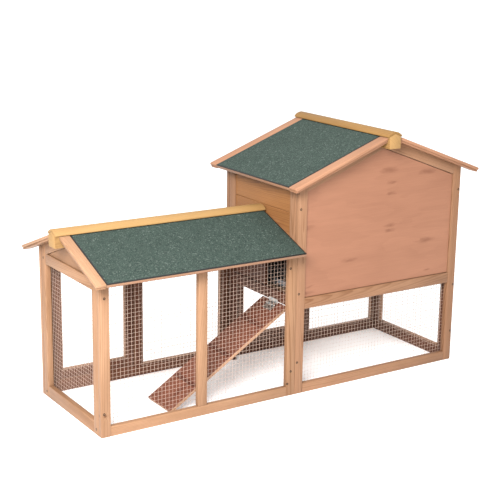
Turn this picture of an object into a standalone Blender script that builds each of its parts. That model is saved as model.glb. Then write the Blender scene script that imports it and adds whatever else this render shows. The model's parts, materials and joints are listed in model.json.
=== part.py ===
"""A two-storey garden rabbit hutch: a wire-mesh run with a low pitched roof, joined to a taller
house that stands over an open lower level. A ramp climbs from the run to the house's doorway.

Axes: X runs along the hutch from the run (-X) to the house (+X), Y runs from the back panel (-Y)
to the front with the doors (+Y), and Z is up. The origin is on the ground under the middle.
Every length is in metres.
"""

import math

import bmesh
import bpy
from mathutils import Matrix, Vector

# Overall sizes
RUN_LENGTH = 0.697
HOUSE_LENGTH = 0.678
DEPTH = 0.430
RUN_RIDGE = 0.590  # height where the two planes of the run's felt would meet
HOUSE_RIDGE = 0.839
ROOF_PITCH = math.radians(20.5)

# Timber sections
TIMBER = 0.018  # thickness of every upright and rail
STILE = 0.032  # face width of the outer uprights
CENTRE_STILE = 0.032
BACK_RAIL = 0.032
DEEP_RAIL = 0.040
MIDDLE_RAIL = 0.036
RAFTER = 0.036
TOP_RAIL = 0.034
EASED_EDGE = 0.0006

# Heights of the rails
MIDDLE_RAIL_BOTTOM = 0.288
END_TOP_RAIL_BOTTOM = 0.447
FRONT_TOP_RAIL_BOTTOM = 0.449
HEAD_RAIL_BOTTOM = 0.640

# Roofs
RUN_EAVE = 0.054
HOUSE_EAVE = 0.0436
ROOF_BOARD = 0.009
FELT = 0.002
BATTEN = 0.016
RUN_BATTEN_WIDTH = 0.034
HOUSE_BATTEN_WIDTH = 0.041
RUN_ROOF_TO_WALL = 0.004
BOARD_PAST_WALL = 0.001  # how far the roof boards pass a gable, with the battens beyond them
BEAM_WIDTH = 0.046
BEAM_HEIGHT = 0.050
BEAM_OVERHANG = 0.049
CAP_WIDTH = 0.056
CAP_RISE = 0.014
CAP_EDGE = 0.004
CAP_OVER_FELT = 0.0015
CAP_HOLLOW = 0.002  # how far the cap's underside is hollowed above the roof's own pitch
LID_CLEARANCE = 0.0015

# Boards and sheets
PLY = 0.006
PANEL_RECESS = 0.005
WALL_BOARD = 0.009
FLOOR_BOARD = 0.008
MESH_SHEET = 0.0003  # the welded wire mesh, as a flat sheet
MESH_LAP = 0.012  # how far the mesh laps onto the timber around it

# Doorway, ramp and tray
POP_HOLE_WIDTH = 0.138
POP_HOLE_HEIGHT = 0.190
RAMP_WIDTH = 0.142
RAMP_BOARD = 0.010
RAMP_FOOT = 0.435  # how far the foot stands out from the wall
RAMP_FROM_STILE = 0.010
RAMP_DROP = 0.010  # how far the hinge lies below the wall's rail
RAMP_WALL_GAP = 0.012
RAMP_TUCK = 0.018  # how far the board runs on past its hinge, under the rail
CLEAT_PITCH = 0.147
CLEAT_FROM_FOOT = 0.116
CLEAT_HEIGHT = 0.006
CLEAT_WIDTH = 0.012
CLEAT_END_MARGIN = 0.012
TRAY_FRONT = 0.038
TRAY_WALL = 0.026
TRAY_SHEET = 0.0007
TRAY_PULL = 0.090
TRAY_PULL_REACH = 0.015
TRAY_PULL_THICKNESS = 0.0024

# Doors and hardware
RUN_DOOR_BAY = 0.295
DOOR_FRAME = 0.032
DOOR_GAP = 0.002
DOOR_PANEL = 0.006
HINGE_RADIUS = 0.003
HINGE_LENGTH = 0.050
HINGE_LEAF = 0.022
HINGE_SHEET = 0.0012
HINGE_STANDOFF = 0.001  # between the knuckle and the face that its leaf lies on
HINGE_SIDES = 16
RUN_HINGE_FROM_END = 0.0567
HOUSE_HINGE_FROM_END = 0.054
LID_HINGE_FROM_GABLE = 0.086
BUTTON_LENGTH = 0.046
BUTTON_WIDTH = 0.014
BUTTON_THICKNESS = 0.003
BUTTON_BAR_WIDTH = 0.0028
BUTTON_BAR_LENGTH = 0.023
BUTTON_BAR_RISE = 0.0096
BUTTON_OVER_ROOF = 0.020  # between the run's felt and the house door's button

# Clearances
GAP = 0.0004  # between pieces that touch
REST = 0.0006  # under what lies loose
ROUND_STEPS = 10

# Places worked out from the sizes
LENGTH = BEAM_OVERHANG + RUN_LENGTH + HOUSE_LENGTH + HOUSE_EAVE
X_RUN = -LENGTH / 2 + BEAM_OVERHANG
X_HOUSE = X_RUN + RUN_LENGTH
X_END = X_HOUSE + HOUSE_LENGTH
X_RIDGE = (X_HOUSE + X_END) / 2
Y_BACK = -DEPTH / 2
Y_FRONT = DEPTH / 2
BACK = (Y_BACK, Y_BACK + TIMBER)
FRONT = (Y_FRONT - TIMBER, Y_FRONT)
INSIDE_BACK = BACK[1] + GAP
INSIDE_FRONT = FRONT[0] - GAP
SLOPE = math.tan(ROOF_PITCH)
ROOF_LAYERS = (FELT + GAP + ROOF_BOARD + GAP) / math.cos(ROOF_PITCH)
MIDDLE_RAIL_TOP = MIDDLE_RAIL_BOTTOM + MIDDLE_RAIL
CENTRE_STILE_X = X_RUN + RUN_LENGTH / 2 - CENTRE_STILE / 2
HINGE_OFF_FACE = HINGE_RADIUS + HINGE_STANDOFF
LID_EDGE = CAP_WIDTH / 2 + LID_CLEARANCE
FIXED_EDGE = BEAM_WIDTH / 2 + 2 * GAP


def clear_scene():
    for old in list(bpy.data.objects):
        bpy.data.objects.remove(old, do_unlink=True)


def make_material(name, colour, roughness, metallic=0.0):
    look = bpy.data.materials.new(name)
    look.use_nodes = True
    shader = look.node_tree.nodes["Principled BSDF"]
    shader.inputs["Base Color"].default_value = (*colour, 1.0)
    shader.inputs["Roughness"].default_value = roughness
    shader.inputs["Metallic"].default_value = metallic
    return look


def add_object(name, mesh, look, place=(0, 0, 0), parent=None):
    """Links a mesh as a new object, at a place given in the world, under an optional empty."""
    piece = bpy.data.objects.new(name, mesh)
    bpy.context.scene.collection.objects.link(piece)
    if look:
        mesh.materials.append(look)
    piece.matrix_world = Matrix.Translation(place)
    if parent:
        piece.parent = parent
        piece.location = parent.matrix_world.inverted() @ Vector(place)
    return piece


def pivot(name, place, turn=0.0):
    """An empty on a joint's axis, turned about Y where the moving piece slopes."""
    empty = bpy.data.objects.new(name, None)
    bpy.context.scene.collection.objects.link(empty)
    empty.location = place
    empty.rotation_euler = (0, turn, 0)
    bpy.context.view_layer.update()
    return empty


def ease_edges(piece):
    bevel = piece.modifiers.new("eased edges", "BEVEL")
    bevel.width = EASED_EDGE
    bevel.segments = 1
    bevel.limit_method = "ANGLE"


def box_mesh(name, size):
    shape = bmesh.new()
    bmesh.ops.create_cube(shape, size=1.0)
    bmesh.ops.scale(shape, vec=size, verts=shape.verts)
    mesh = bpy.data.meshes.new(name)
    shape.to_mesh(mesh)
    shape.free()
    return mesh


def block(name, x, y, z, look, parent=None, eased=True):
    """A rectangular piece between two values on each axis."""
    low, high = Vector((x[0], y[0], z[0])), Vector((x[1], y[1], z[1]))
    piece = add_object(name, box_mesh(name, high - low), look, (low + high) / 2, parent)
    if eased:
        ease_edges(piece)
    return piece


def prism_mesh(name, outline, along, start, end):
    """An outline carried straight along one axis: (x, z) points along Y, or (y, z) along X."""
    shape = bmesh.new()
    if along == "y":
        corners = [shape.verts.new((a, start, b)) for a, b in outline]
        reach = Vector((0, end - start, 0))
    else:
        corners = [shape.verts.new((start, a, b)) for a, b in outline]
        reach = Vector((end - start, 0, 0))
    face = shape.faces.new(corners)
    swept = bmesh.ops.extrude_face_region(shape, geom=[face])
    moved = [item for item in swept["geom"] if isinstance(item, bmesh.types.BMVert)]
    bmesh.ops.translate(shape, vec=reach, verts=moved)
    bmesh.ops.recalc_face_normals(shape, faces=shape.faces)
    mesh = bpy.data.meshes.new(name)
    shape.to_mesh(mesh)
    shape.free()
    return mesh


def prism(name, outline, along, span, look, parent=None, eased=True):
    mesh = prism_mesh(name, outline, along, *span)
    middle = sum((Vector(corner) for corner in piece_box(mesh)), Vector()) / 2
    mesh.transform(Matrix.Translation(-middle))
    piece = add_object(name, mesh, look, middle, parent)
    if eased:
        ease_edges(piece)
    return piece


def piece_box(mesh):
    points = [vertex.co for vertex in mesh.vertices]
    return [[pick(point[axis] for point in points) for axis in range(3)] for pick in (min, max)]


def combine(piece, other, operation):
    """Joins or cuts a piece with a helper that stays hidden. It comes before the eased edges."""
    other.hide_render = True
    other.display_type = "WIRE"
    step = piece.modifiers.new(operation.lower(), "BOOLEAN")
    step.operation = operation
    step.solver = "EXACT"
    step.object = other
    piece.modifiers.move(len(piece.modifiers) - 1, 0)


def cut_window(piece, outline, along):
    """Cuts an outline right through a panel."""
    low, high = piece_box(piece.data)
    axis = 1 if along == "y" else 0
    place = piece.matrix_world.translation[axis]
    span = (place + low[axis] - TIMBER, place + high[axis] + TIMBER)
    cutter = prism(piece.name + ".window", outline, along, span, None, eased=False)
    combine(piece, cutter, "DIFFERENCE")


def rectangle(a, b):
    return [(a[0], b[0]), (a[1], b[0]), (a[1], b[1]), (a[0], b[1])]


def felt_height(ridge, distance):
    """Height of the felt at a level distance from the ridge line."""
    return ridge - SLOPE * distance


def wall_height(ridge, distance):
    """Height of whatever carries the roof boards at a level distance from the ridge line."""
    return felt_height(ridge, distance) - ROOF_LAYERS - GAP


def rafter_underside(ridge, distance):
    return wall_height(ridge, distance) - RAFTER / math.cos(ROOF_PITCH)


def beam_bottom(ridge):
    return ridge + cap_top_over_ridge() - CAP_RISE - CAP_EDGE + cap_inner_rise() - BEAM_HEIGHT


def cap_inner_rise():
    """How much higher the cap's underside is at its middle than at its edges."""
    return SLOPE * CAP_WIDTH / 2 + CAP_HOLLOW


def cap_top_over_ridge():
    return CAP_OVER_FELT + CAP_EDGE + CAP_RISE - SLOPE * CAP_WIDTH / 2


def gable_outline(ridge, middle, low, high, bottom):
    """A gable panel's outline between two uprights' outer edges, notched under the ridge beam."""
    notch = BEAM_WIDTH / 2 + GAP
    floor = beam_bottom(ridge) - GAP
    return [
        (low, bottom),
        (high, bottom),
        (high, wall_height(ridge, high - middle)),
        (middle + notch, wall_height(ridge, notch)),
        (middle + notch, floor),
        (middle - notch, floor),
        (middle - notch, wall_height(ridge, notch)),
        (low, wall_height(ridge, middle - low)),
    ]


def gable_window(ridge, middle, half_width, bottom, shrink=0.0):
    """The space under both rafters and over a rail: three points, or five where uprights cut it."""
    peak = rafter_underside(ridge, 0) - shrink / math.cos(ROOF_PITCH)
    bottom += shrink
    reach = (peak - bottom) / SLOPE
    side = half_width - shrink
    if reach <= side:
        return [(middle - reach, bottom), (middle + reach, bottom), (middle, peak)]
    shoulder = peak - SLOPE * side
    return [
        (middle - side, bottom),
        (middle + side, bottom),
        (middle + side, shoulder),
        (middle, peak),
        (middle - side, shoulder),
    ]


def slab_outline(ridge, side, inner, outer, above, thickness):
    """A sheet that lies on a roof slope, between two level distances from the ridge line.

    side is -1 or 1, above is how far the sheet's top lies under the felt's top, and the lower
    edge is cut square to the slope.
    """
    drop = above / math.cos(ROOF_PITCH)
    top_inner = felt_height(ridge, inner) - drop
    lean = math.sin(ROOF_PITCH)
    outer_top = outer - above * lean
    top_outer = felt_height(ridge, outer_top) - drop
    low_outer = outer_top - thickness * lean
    bottom = top_outer - thickness * math.cos(ROOF_PITCH)
    bottom_inner = top_inner - thickness / math.cos(ROOF_PITCH)
    return [
        (side * inner, top_inner),
        (side * outer_top, top_outer),
        (side * low_outer, bottom),
        (side * inner, bottom_inner),
    ]


def shifted(outline, distance):
    return [(a + distance, b) for a, b in outline]


def beam_outline(ridge):
    """A squared beam with a shallow pitched top, which the cap covers."""
    half = BEAM_WIDTH / 2
    bottom = beam_bottom(ridge)
    shoulder = bottom + BEAM_HEIGHT - GAP - cap_inner_rise() * BEAM_WIDTH / CAP_WIDTH
    return [
        (-half, bottom),
        (half, bottom),
        (half, shoulder),
        (0, bottom + BEAM_HEIGHT - GAP),
        (-half, shoulder),
    ]


def cap_outline(ridge):
    """A cover strip with a rounded top and a pitched underside."""
    half = CAP_WIDTH / 2
    radius = (half**2 + CAP_RISE**2) / (2 * CAP_RISE)
    top = ridge + cap_top_over_ridge()
    spread = math.asin(half / radius)
    arc = []
    for step in range(ROUND_STEPS + 1):
        angle = spread * (1 - 2 * step / ROUND_STEPS)
        arc.append((radius * math.sin(angle), top - radius * (1 - math.cos(angle))))
    edge = top - CAP_RISE - CAP_EDGE
    return arc + [(-half, edge), (0, edge + cap_inner_rise()), (half, edge)]


def build_run_back(wood, wire):
    top = wall_height(RUN_RIDGE, DEPTH / 2)
    left = (X_RUN, X_RUN + STILE)
    right = (X_HOUSE - GAP - STILE, X_HOUSE - GAP)
    centre = (CENTRE_STILE_X, CENTRE_STILE_X + CENTRE_STILE)
    between = (left[1] + GAP, right[0] - GAP)
    block("run_back_left_stile", left, BACK, (0, top), wood)
    block("run_back_right_stile", right, BACK, (0, top), wood)
    block("run_back_bottom_rail", between, BACK, (0, BACK_RAIL), wood)
    block("run_back_top_rail", between, BACK, (top - TOP_RAIL, top), wood)
    block("run_back_centre_stile", centre, BACK, (BACK_RAIL + GAP, top - TOP_RAIL - GAP), wood)
    mesh_x = (X_RUN + TIMBER + 2 * GAP, right[0] + MESH_LAP)
    mesh_y = (INSIDE_BACK, INSIDE_BACK + MESH_SHEET)
    mesh_z = (BACK_RAIL - MESH_LAP, top - TOP_RAIL + MESH_LAP)
    block("run_back_mesh", mesh_x, mesh_y, mesh_z, wire, eased=False)


def build_run_end(wood, ply, wire):
    low, high = INSIDE_BACK, INSIDE_FRONT
    outline = gable_outline(RUN_RIDGE, 0, low, high, 0)
    frame = prism("run_end_frame", outline, "x", (X_RUN, X_RUN + TIMBER), wood)
    bay = rectangle((low + STILE, high - STILE), (DEEP_RAIL, END_TOP_RAIL_BOTTOM))
    rail_top = END_TOP_RAIL_BOTTOM + TOP_RAIL
    cut_window(frame, bay, "x")
    cut_window(frame, gable_window(RUN_RIDGE, 0, high - STILE, rail_top), "x")
    ply_x = (X_RUN + PANEL_RECESS, X_RUN + PANEL_RECESS + PLY)
    triangle = gable_window(RUN_RIDGE, 0, high - STILE, rail_top, GAP)
    prism("run_end_gable", triangle, "x", ply_x, ply, eased=False)
    mesh_x = (X_RUN + TIMBER + GAP, X_RUN + TIMBER + GAP + MESH_SHEET)
    mesh_y = (low + STILE - MESH_LAP, high - STILE + MESH_LAP)
    mesh_z = (DEEP_RAIL - MESH_LAP, END_TOP_RAIL_BOTTOM + MESH_LAP)
    block("run_end_mesh", mesh_x, mesh_y, mesh_z, wire, eased=False)


def run_door_bay():
    """Where the run's door sits in its frame: its x and z ranges."""
    left = X_RUN + STILE + GAP
    return (left, left + RUN_DOOR_BAY), (DEEP_RAIL, FRONT_TOP_RAIL_BOTTOM)


def build_run_front(wood, wire):
    top = wall_height(RUN_RIDGE, DEPTH / 2)
    bay_x, bay_z = run_door_bay()
    right_bay = (bay_x[1] + STILE, X_HOUSE - GAP - STILE)
    outline = rectangle((X_RUN, X_HOUSE - GAP), (0, top))
    frame = prism("run_front_frame", outline, "y", FRONT, wood)
    cut_window(frame, rectangle(bay_x, bay_z), "y")
    cut_window(frame, rectangle(right_bay, bay_z), "y")
    mesh_x = (right_bay[0] - MESH_LAP, right_bay[1] + MESH_LAP)
    mesh_y = (INSIDE_FRONT - MESH_SHEET, INSIDE_FRONT)
    mesh_z = (bay_z[0] - MESH_LAP, bay_z[1] + MESH_LAP)
    block("run_front_mesh", mesh_x, mesh_y, mesh_z, wire, eased=False)


def make_hinge(name, parent, axis, leaf_side, steel):
    """A butt hinge's knuckle and the leaf on the moving piece.

    axis is "z" for a door that opens forwards and "y" for a sloping piece, whose own frame has
    its leaf along X. The leaf lies on the moving piece's face, under the knuckle's middle.
    """
    shape = bmesh.new()
    bmesh.ops.create_cone(
        shape,
        cap_ends=True,
        segments=HINGE_SIDES,
        radius1=HINGE_RADIUS,
        radius2=HINGE_RADIUS,
        depth=HINGE_LENGTH,
    )
    knuckle = bpy.data.meshes.new(name)
    shape.to_mesh(knuckle)
    shape.free()
    knuckle.shade_smooth()
    knuckle.set_sharp_from_angle(angle=math.radians(40))
    under = -HINGE_OFF_FACE + GAP
    reach = leaf_side * HINGE_LEAF
    x = (min(0, reach), max(0, reach))
    if axis == "z":
        leaf = ((x[0], x[1]), (under, under + HINGE_SHEET), (-HINGE_LENGTH / 2, HINGE_LENGTH / 2))
        web = ((-HINGE_SHEET, HINGE_SHEET), (under, 0), leaf[2])
    else:
        knuckle.transform(Matrix.Rotation(math.pi / 2, 4, "X"))
        leaf = ((x[0], x[1]), (-HINGE_LENGTH / 2, HINGE_LENGTH / 2), (under, under + HINGE_SHEET))
        web = ((-HINGE_SHEET, HINGE_SHEET), leaf[1], (under, 0))
    hinge = add_object(name, knuckle, steel)
    for label, (lx, ly, lz) in (("leaf", leaf), ("web", web)):
        size = Vector((lx[1] - lx[0], ly[1] - ly[0], lz[1] - lz[0]))
        centre = Vector((sum(lx), sum(ly), sum(lz))) / 2
        mesh = box_mesh(name + "." + label, size)
        mesh.transform(Matrix.Translation(centre))
        part = add_object(name + "." + label, mesh, None)
        part.parent = hinge
        combine(hinge, part, "UNION")
    hinge.parent = parent
    return hinge


def make_button(name, place, steel):
    """A turn button, upright at rest, with a raised finger bar across its middle."""
    centre = pivot(name + "_pivot", place)
    outline = []
    half = BUTTON_LENGTH / 2 - BUTTON_WIDTH / 2
    for end in (1, -1):
        for step in range(ROUND_STEPS + 1):
            angle = math.pi * step / ROUND_STEPS
            outline.append(
                (
                    end * BUTTON_WIDTH / 2 * math.cos(angle),
                    end * (half + BUTTON_WIDTH / 2 * math.sin(angle)),
                )
            )
    button = add_object(name, prism_mesh(name, outline, "y", 0, BUTTON_THICKNESS), steel)
    depth = BUTTON_BAR_RISE - BUTTON_THICKNESS / 2
    mesh = box_mesh(name + ".bar", Vector((BUTTON_BAR_WIDTH, depth, BUTTON_BAR_LENGTH)))
    mesh.transform(Matrix.Translation((0, BUTTON_BAR_RISE - depth / 2, 0)))
    bar = add_object(name + ".bar", mesh, None)
    bar.parent = button
    combine(button, bar, "UNION")
    button.parent = centre
    return button


def build_run_door(wood, wire, steel):
    bay_x, bay_z = run_door_bay()
    x = (bay_x[0] + DOOR_GAP, bay_x[1] - DOOR_GAP)
    z = (bay_z[0] + DOOR_GAP, bay_z[1] - DOOR_GAP)
    axis = pivot("run_door_pivot", (x[0] - DOOR_GAP / 2, Y_FRONT + HINGE_OFF_FACE, sum(z) / 2))
    frame = prism("run_door_frame", rectangle(x, z), "y", FRONT, wood, axis)
    inner_x = (x[0] + DOOR_FRAME, x[1] - DOOR_FRAME)
    inner_z = (z[0] + DOOR_FRAME, z[1] - DOOR_FRAME)
    cut_window(frame, rectangle(inner_x, inner_z), "y")
    mesh_x = (inner_x[0] - MESH_LAP, inner_x[1] + MESH_LAP)
    mesh_z = (inner_z[0] - MESH_LAP, inner_z[1] + MESH_LAP)
    mesh_y = (INSIDE_FRONT - MESH_SHEET, INSIDE_FRONT)
    block("run_door_mesh", mesh_x, mesh_y, mesh_z, wire, axis, eased=False)
    reach = (z[1] - z[0]) / 2 - RUN_HINGE_FROM_END
    for name, along in (("run_door_hinge_upper", reach), ("run_door_hinge_lower", -reach)):
        hinge = make_hinge(name, axis, "z", 1, steel)
        hinge.location = (0, 0, along)
    button_x = bay_x[1] + STILE / 2
    make_button("run_door_button", (button_x, Y_FRONT + GAP, sum(z) / 2), steel)


def roof_slope(name, ridge, middle, side, along, span, inner, outer, board, felt, parent=None):
    """One slope's board with its felt, on a ridge that runs along X or Y."""
    layers = ((name + "_board", FELT + GAP, ROOF_BOARD, board), (name + "_felt", 0, FELT, felt))
    for label, above, thickness, look in layers:
        outline = shifted(slab_outline(ridge, side, inner, outer, above, thickness), middle)
        prism(label, outline, along, span, look, parent, eased=False)


def build_run_roof(wood, ply, felt, pale):
    start = X_RUN - BOARD_PAST_WALL
    end = X_HOUSE - RUN_ROOF_TO_WALL
    outer = DEPTH / 2 + RUN_EAVE
    batten_x = (start - GAP - RUN_BATTEN_WIDTH, start - GAP)
    for label, side in (("back", -1), ("front", 1)):
        name = "run_roof_" + label
        roof_slope(name, RUN_RIDGE, 0, side, "x", (start, end), FIXED_EDGE, outer, ply, felt)
        strip = slab_outline(RUN_RIDGE, side, FIXED_EDGE, outer, 0, BATTEN)
        prism(name + "_batten", strip, "x", batten_x, wood)
    beam_x = (X_RUN - BEAM_OVERHANG, X_HOUSE - GAP)
    prism("run_ridge_beam", beam_outline(RUN_RIDGE), "x", beam_x, pale)
    prism("run_ridge_cap", cap_outline(RUN_RIDGE), "x", beam_x, pale, eased=False)


def build_house_back(wood, ply, wire):
    left = (X_HOUSE, X_HOUSE + STILE)
    right = (X_END - STILE, X_END)
    between = (left[1] + GAP, right[0] - GAP)
    for name, x in (("house_back_left_stile", left), ("house_back_right_stile", right)):
        tops = [wall_height(HOUSE_RIDGE, abs(edge - X_RIDGE)) for edge in x]
        outline = [(x[0], 0), (x[1], 0), (x[1], tops[1]), (x[0], tops[0])]
        prism(name, outline, "y", BACK, wood)
    block("house_back_bottom_rail", between, BACK, (0, BACK_RAIL), wood)
    middle_z = (MIDDLE_RAIL_BOTTOM, MIDDLE_RAIL_TOP)
    block("house_back_middle_rail", between, BACK, middle_z, wood)
    half = between[1] - X_RIDGE
    notch = BEAM_WIDTH / 2 + GAP
    floor = beam_bottom(HOUSE_RIDGE) - GAP
    rafter = [
        (half, rafter_underside(HOUSE_RIDGE, half)),
        (half, wall_height(HOUSE_RIDGE, half)),
        (notch, wall_height(HOUSE_RIDGE, notch)),
        (notch, floor),
        (GAP / 2, floor),
        (GAP / 2, rafter_underside(HOUSE_RIDGE, GAP / 2)),
    ]
    for name, side in (("house_back_left_rafter", -1), ("house_back_right_rafter", 1)):
        prism(name, [(X_RIDGE + side * a, b) for a, b in rafter], "y", BACK, wood)
    ply_y = (Y_BACK + PANEL_RECESS, Y_BACK + PANEL_RECESS + PLY)
    field = gable_window(HOUSE_RIDGE, X_RIDGE, half + GAP, MIDDLE_RAIL_TOP, GAP)
    prism("house_back_panel", field, "y", ply_y, ply, eased=False)
    mesh_x = (X_HOUSE + TIMBER + 2 * GAP, X_END - TIMBER - 2 * GAP)
    mesh_y = (INSIDE_BACK, INSIDE_BACK + MESH_SHEET)
    mesh_z = (BACK_RAIL - MESH_LAP, MIDDLE_RAIL_BOTTOM + MESH_LAP)
    block("house_back_mesh", mesh_x, mesh_y, mesh_z, wire, eased=False)


def build_house_left(wood, board):
    low, high = INSIDE_BACK, INSIDE_FRONT
    top = wall_height(HOUSE_RIDGE, HOUSE_LENGTH / 2)
    x = (X_HOUSE, X_HOUSE + TIMBER)
    inner = (low + STILE, high - STILE)
    frame = prism("house_left_frame", rectangle((low, high), (0, top)), "x", x, wood)
    cut_window(frame, rectangle(inner, (-TIMBER, MIDDLE_RAIL_BOTTOM)), "x")
    cut_window(frame, rectangle(inner, (MIDDLE_RAIL_TOP, top + TIMBER)), "x")
    board_x = (X_HOUSE + PANEL_RECESS, X_HOUSE + PANEL_RECESS + WALL_BOARD)
    y0, y1 = inner[0] + GAP, inner[1] - GAP
    sill = MIDDLE_RAIL_TOP + GAP
    hole_side = y0 + POP_HOLE_WIDTH
    hole_top = sill + POP_HOLE_HEIGHT
    outline = [
        (hole_side, sill),
        (y1, sill),
        (y1, top),
        (y0, top),
        (y0, hole_top),
        (hole_side, hole_top),
    ]
    prism("house_left_boards", outline, "x", board_x, board, eased=False)


def build_house_right(wood, board, wire):
    low, high = INSIDE_BACK, INSIDE_FRONT
    top = wall_height(HOUSE_RIDGE, HOUSE_LENGTH / 2)
    x = (X_END - TIMBER, X_END)
    inner = (low + STILE, high - STILE)
    frame = prism("house_right_frame", rectangle((low, high), (0, top)), "x", x, wood)
    cut_window(frame, rectangle(inner, (DEEP_RAIL, MIDDLE_RAIL_BOTTOM)), "x")
    cut_window(frame, rectangle(inner, (MIDDLE_RAIL_TOP, top + TIMBER)), "x")
    board_x = (X_END - PANEL_RECESS - WALL_BOARD, X_END - PANEL_RECESS)
    board_y = (inner[0] + GAP, inner[1] - GAP)
    block("house_right_boards", board_x, board_y, (MIDDLE_RAIL_TOP + GAP, top), board)
    mesh_x = (x[0] - GAP - MESH_SHEET, x[0] - GAP)
    mesh_y = (inner[0] - MESH_LAP, inner[1] + MESH_LAP)
    mesh_z = (DEEP_RAIL - MESH_LAP, MIDDLE_RAIL_BOTTOM + MESH_LAP)
    block("house_right_mesh", mesh_x, mesh_y, mesh_z, wire, eased=False)


def build_house_front(wood, ply, wire):
    inner = (X_HOUSE + STILE, X_END - STILE)
    outline = gable_outline(HOUSE_RIDGE, X_RIDGE, X_HOUSE, X_END, 0)
    frame = prism("house_front_frame", outline, "y", FRONT, wood)
    head_top = HEAD_RAIL_BOTTOM + BACK_RAIL
    half = inner[1] - X_RIDGE
    centre = (X_RIDGE - STILE / 2, X_RIDGE + STILE / 2)
    left_bay = (inner[0] + DOOR_FRAME, centre[0] - DOOR_FRAME)
    left_z = (DEEP_RAIL + DOOR_FRAME, MIDDLE_RAIL_BOTTOM - DOOR_FRAME)
    cut_window(frame, rectangle(left_bay, left_z), "y")
    cut_window(frame, rectangle((centre[1], inner[1]), (DEEP_RAIL, MIDDLE_RAIL_BOTTOM)), "y")
    cut_window(frame, rectangle(inner, (MIDDLE_RAIL_TOP, HEAD_RAIL_BOTTOM)), "y")
    cut_window(frame, gable_window(HOUSE_RIDGE, X_RIDGE, half, head_top), "y")
    ply_y = (Y_FRONT - PANEL_RECESS - PLY, Y_FRONT - PANEL_RECESS)
    field = gable_window(HOUSE_RIDGE, X_RIDGE, half, head_top, GAP)
    prism("house_front_gable", field, "y", ply_y, ply, eased=False)
    mesh_x = (X_HOUSE + TIMBER + 2 * GAP, X_END - TIMBER - 2 * GAP)
    mesh_y = (INSIDE_FRONT - MESH_SHEET, INSIDE_FRONT)
    mesh_z = (DEEP_RAIL - MESH_LAP, MIDDLE_RAIL_BOTTOM + MESH_LAP)
    block("house_front_mesh", mesh_x, mesh_y, mesh_z, wire, eased=False)


def build_house_door(wood, steel):
    """A framed door whose thin panel is set back from both faces."""
    x = (X_HOUSE + STILE + DOOR_GAP, X_END - STILE - DOOR_GAP)
    z = (MIDDLE_RAIL_TOP + TRAY_FRONT + 2 * DOOR_GAP, HEAD_RAIL_BOTTOM - DOOR_GAP)
    axis = pivot("house_door_pivot", (x[1] + DOOR_GAP / 2, Y_FRONT + HINGE_OFF_FACE, sum(z) / 2))
    door = prism("house_door", rectangle(x, z), "y", FRONT, wood, axis)
    field_x = (x[0] + DOOR_FRAME, x[1] - DOOR_FRAME)
    field_z = (z[0] + DOOR_FRAME, z[1] - DOOR_FRAME)
    recesses = (
        ("outer", (Y_FRONT - PANEL_RECESS, Y_FRONT + TIMBER)),
        ("inner", (FRONT[0] - TIMBER, Y_FRONT - PANEL_RECESS - DOOR_PANEL)),
    )
    for label, span in recesses:
        outline = rectangle(field_x, field_z)
        cutter = prism("house_door." + label, outline, "y", span, None, eased=False)
        combine(door, cutter, "DIFFERENCE")
    reach = (z[1] - z[0]) / 2 - HOUSE_HINGE_FROM_END
    for name, along in (("house_door_hinge_upper", reach), ("house_door_hinge_lower", -reach)):
        hinge = make_hinge(name, axis, "z", -1, steel)
        hinge.location = (0, 0, along)
    button_z = felt_height(RUN_RIDGE, DEPTH / 2) + BUTTON_OVER_ROOF + BUTTON_LENGTH / 2
    make_button("house_door_button", (X_HOUSE + STILE / 2, Y_FRONT + GAP, button_z), steel)


def build_floor_and_tray(ply, steel):
    x = (X_HOUSE + TIMBER + 2 * GAP, X_END - TIMBER - 2 * GAP)
    y = (INSIDE_BACK + GAP, INSIDE_FRONT - GAP)
    floor_z = (MIDDLE_RAIL_TOP - FLOOR_BOARD, MIDDLE_RAIL_TOP)
    block("house_floor", x, y, floor_z, ply, eased=False)
    bottom = MIDDLE_RAIL_TOP + REST
    pan_x = (X_HOUSE + STILE + DOOR_GAP, X_END - STILE - DOOR_GAP)
    front_y = (Y_FRONT - PANEL_RECESS - 2 * TRAY_SHEET, Y_FRONT - PANEL_RECESS)
    pan_y = (BACK[1] + DOOR_GAP, front_y[0] + TRAY_SHEET)
    pan_z = (bottom, bottom + TRAY_WALL)
    slide = pivot("tray_slide", ((pan_x[0] + pan_x[1]) / 2, Y_FRONT, bottom))
    tray = block("tray", pan_x, pan_y, pan_z, steel, slide, eased=False)
    hollow_x = (pan_x[0] + TRAY_SHEET, pan_x[1] - TRAY_SHEET)
    hollow_y = (pan_y[0] + TRAY_SHEET, front_y[0])
    hollow_z = (bottom + TRAY_SHEET, bottom + 2 * TRAY_WALL)
    hollow = block("tray.hollow", hollow_x, hollow_y, hollow_z, None, eased=False)
    front_z = (bottom, bottom + TRAY_FRONT)
    front = block("tray.front", pan_x, front_y, front_z, None, eased=False)
    middle = (pan_x[0] + pan_x[1]) / 2
    pull_x = (middle - TRAY_PULL / 2, middle + TRAY_PULL / 2)
    pull_y = (front_y[0] + TRAY_SHEET / 2, Y_FRONT + TRAY_PULL_REACH)
    pull_low = bottom + (TRAY_FRONT - TRAY_PULL_THICKNESS) / 2
    pull_z = (pull_low, pull_low + TRAY_PULL_THICKNESS)
    pull = block("tray.pull", pull_x, pull_y, pull_z, None, eased=False)
    combine(tray, pull, "UNION")
    combine(tray, front, "UNION")
    combine(tray, hollow, "DIFFERENCE")


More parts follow.
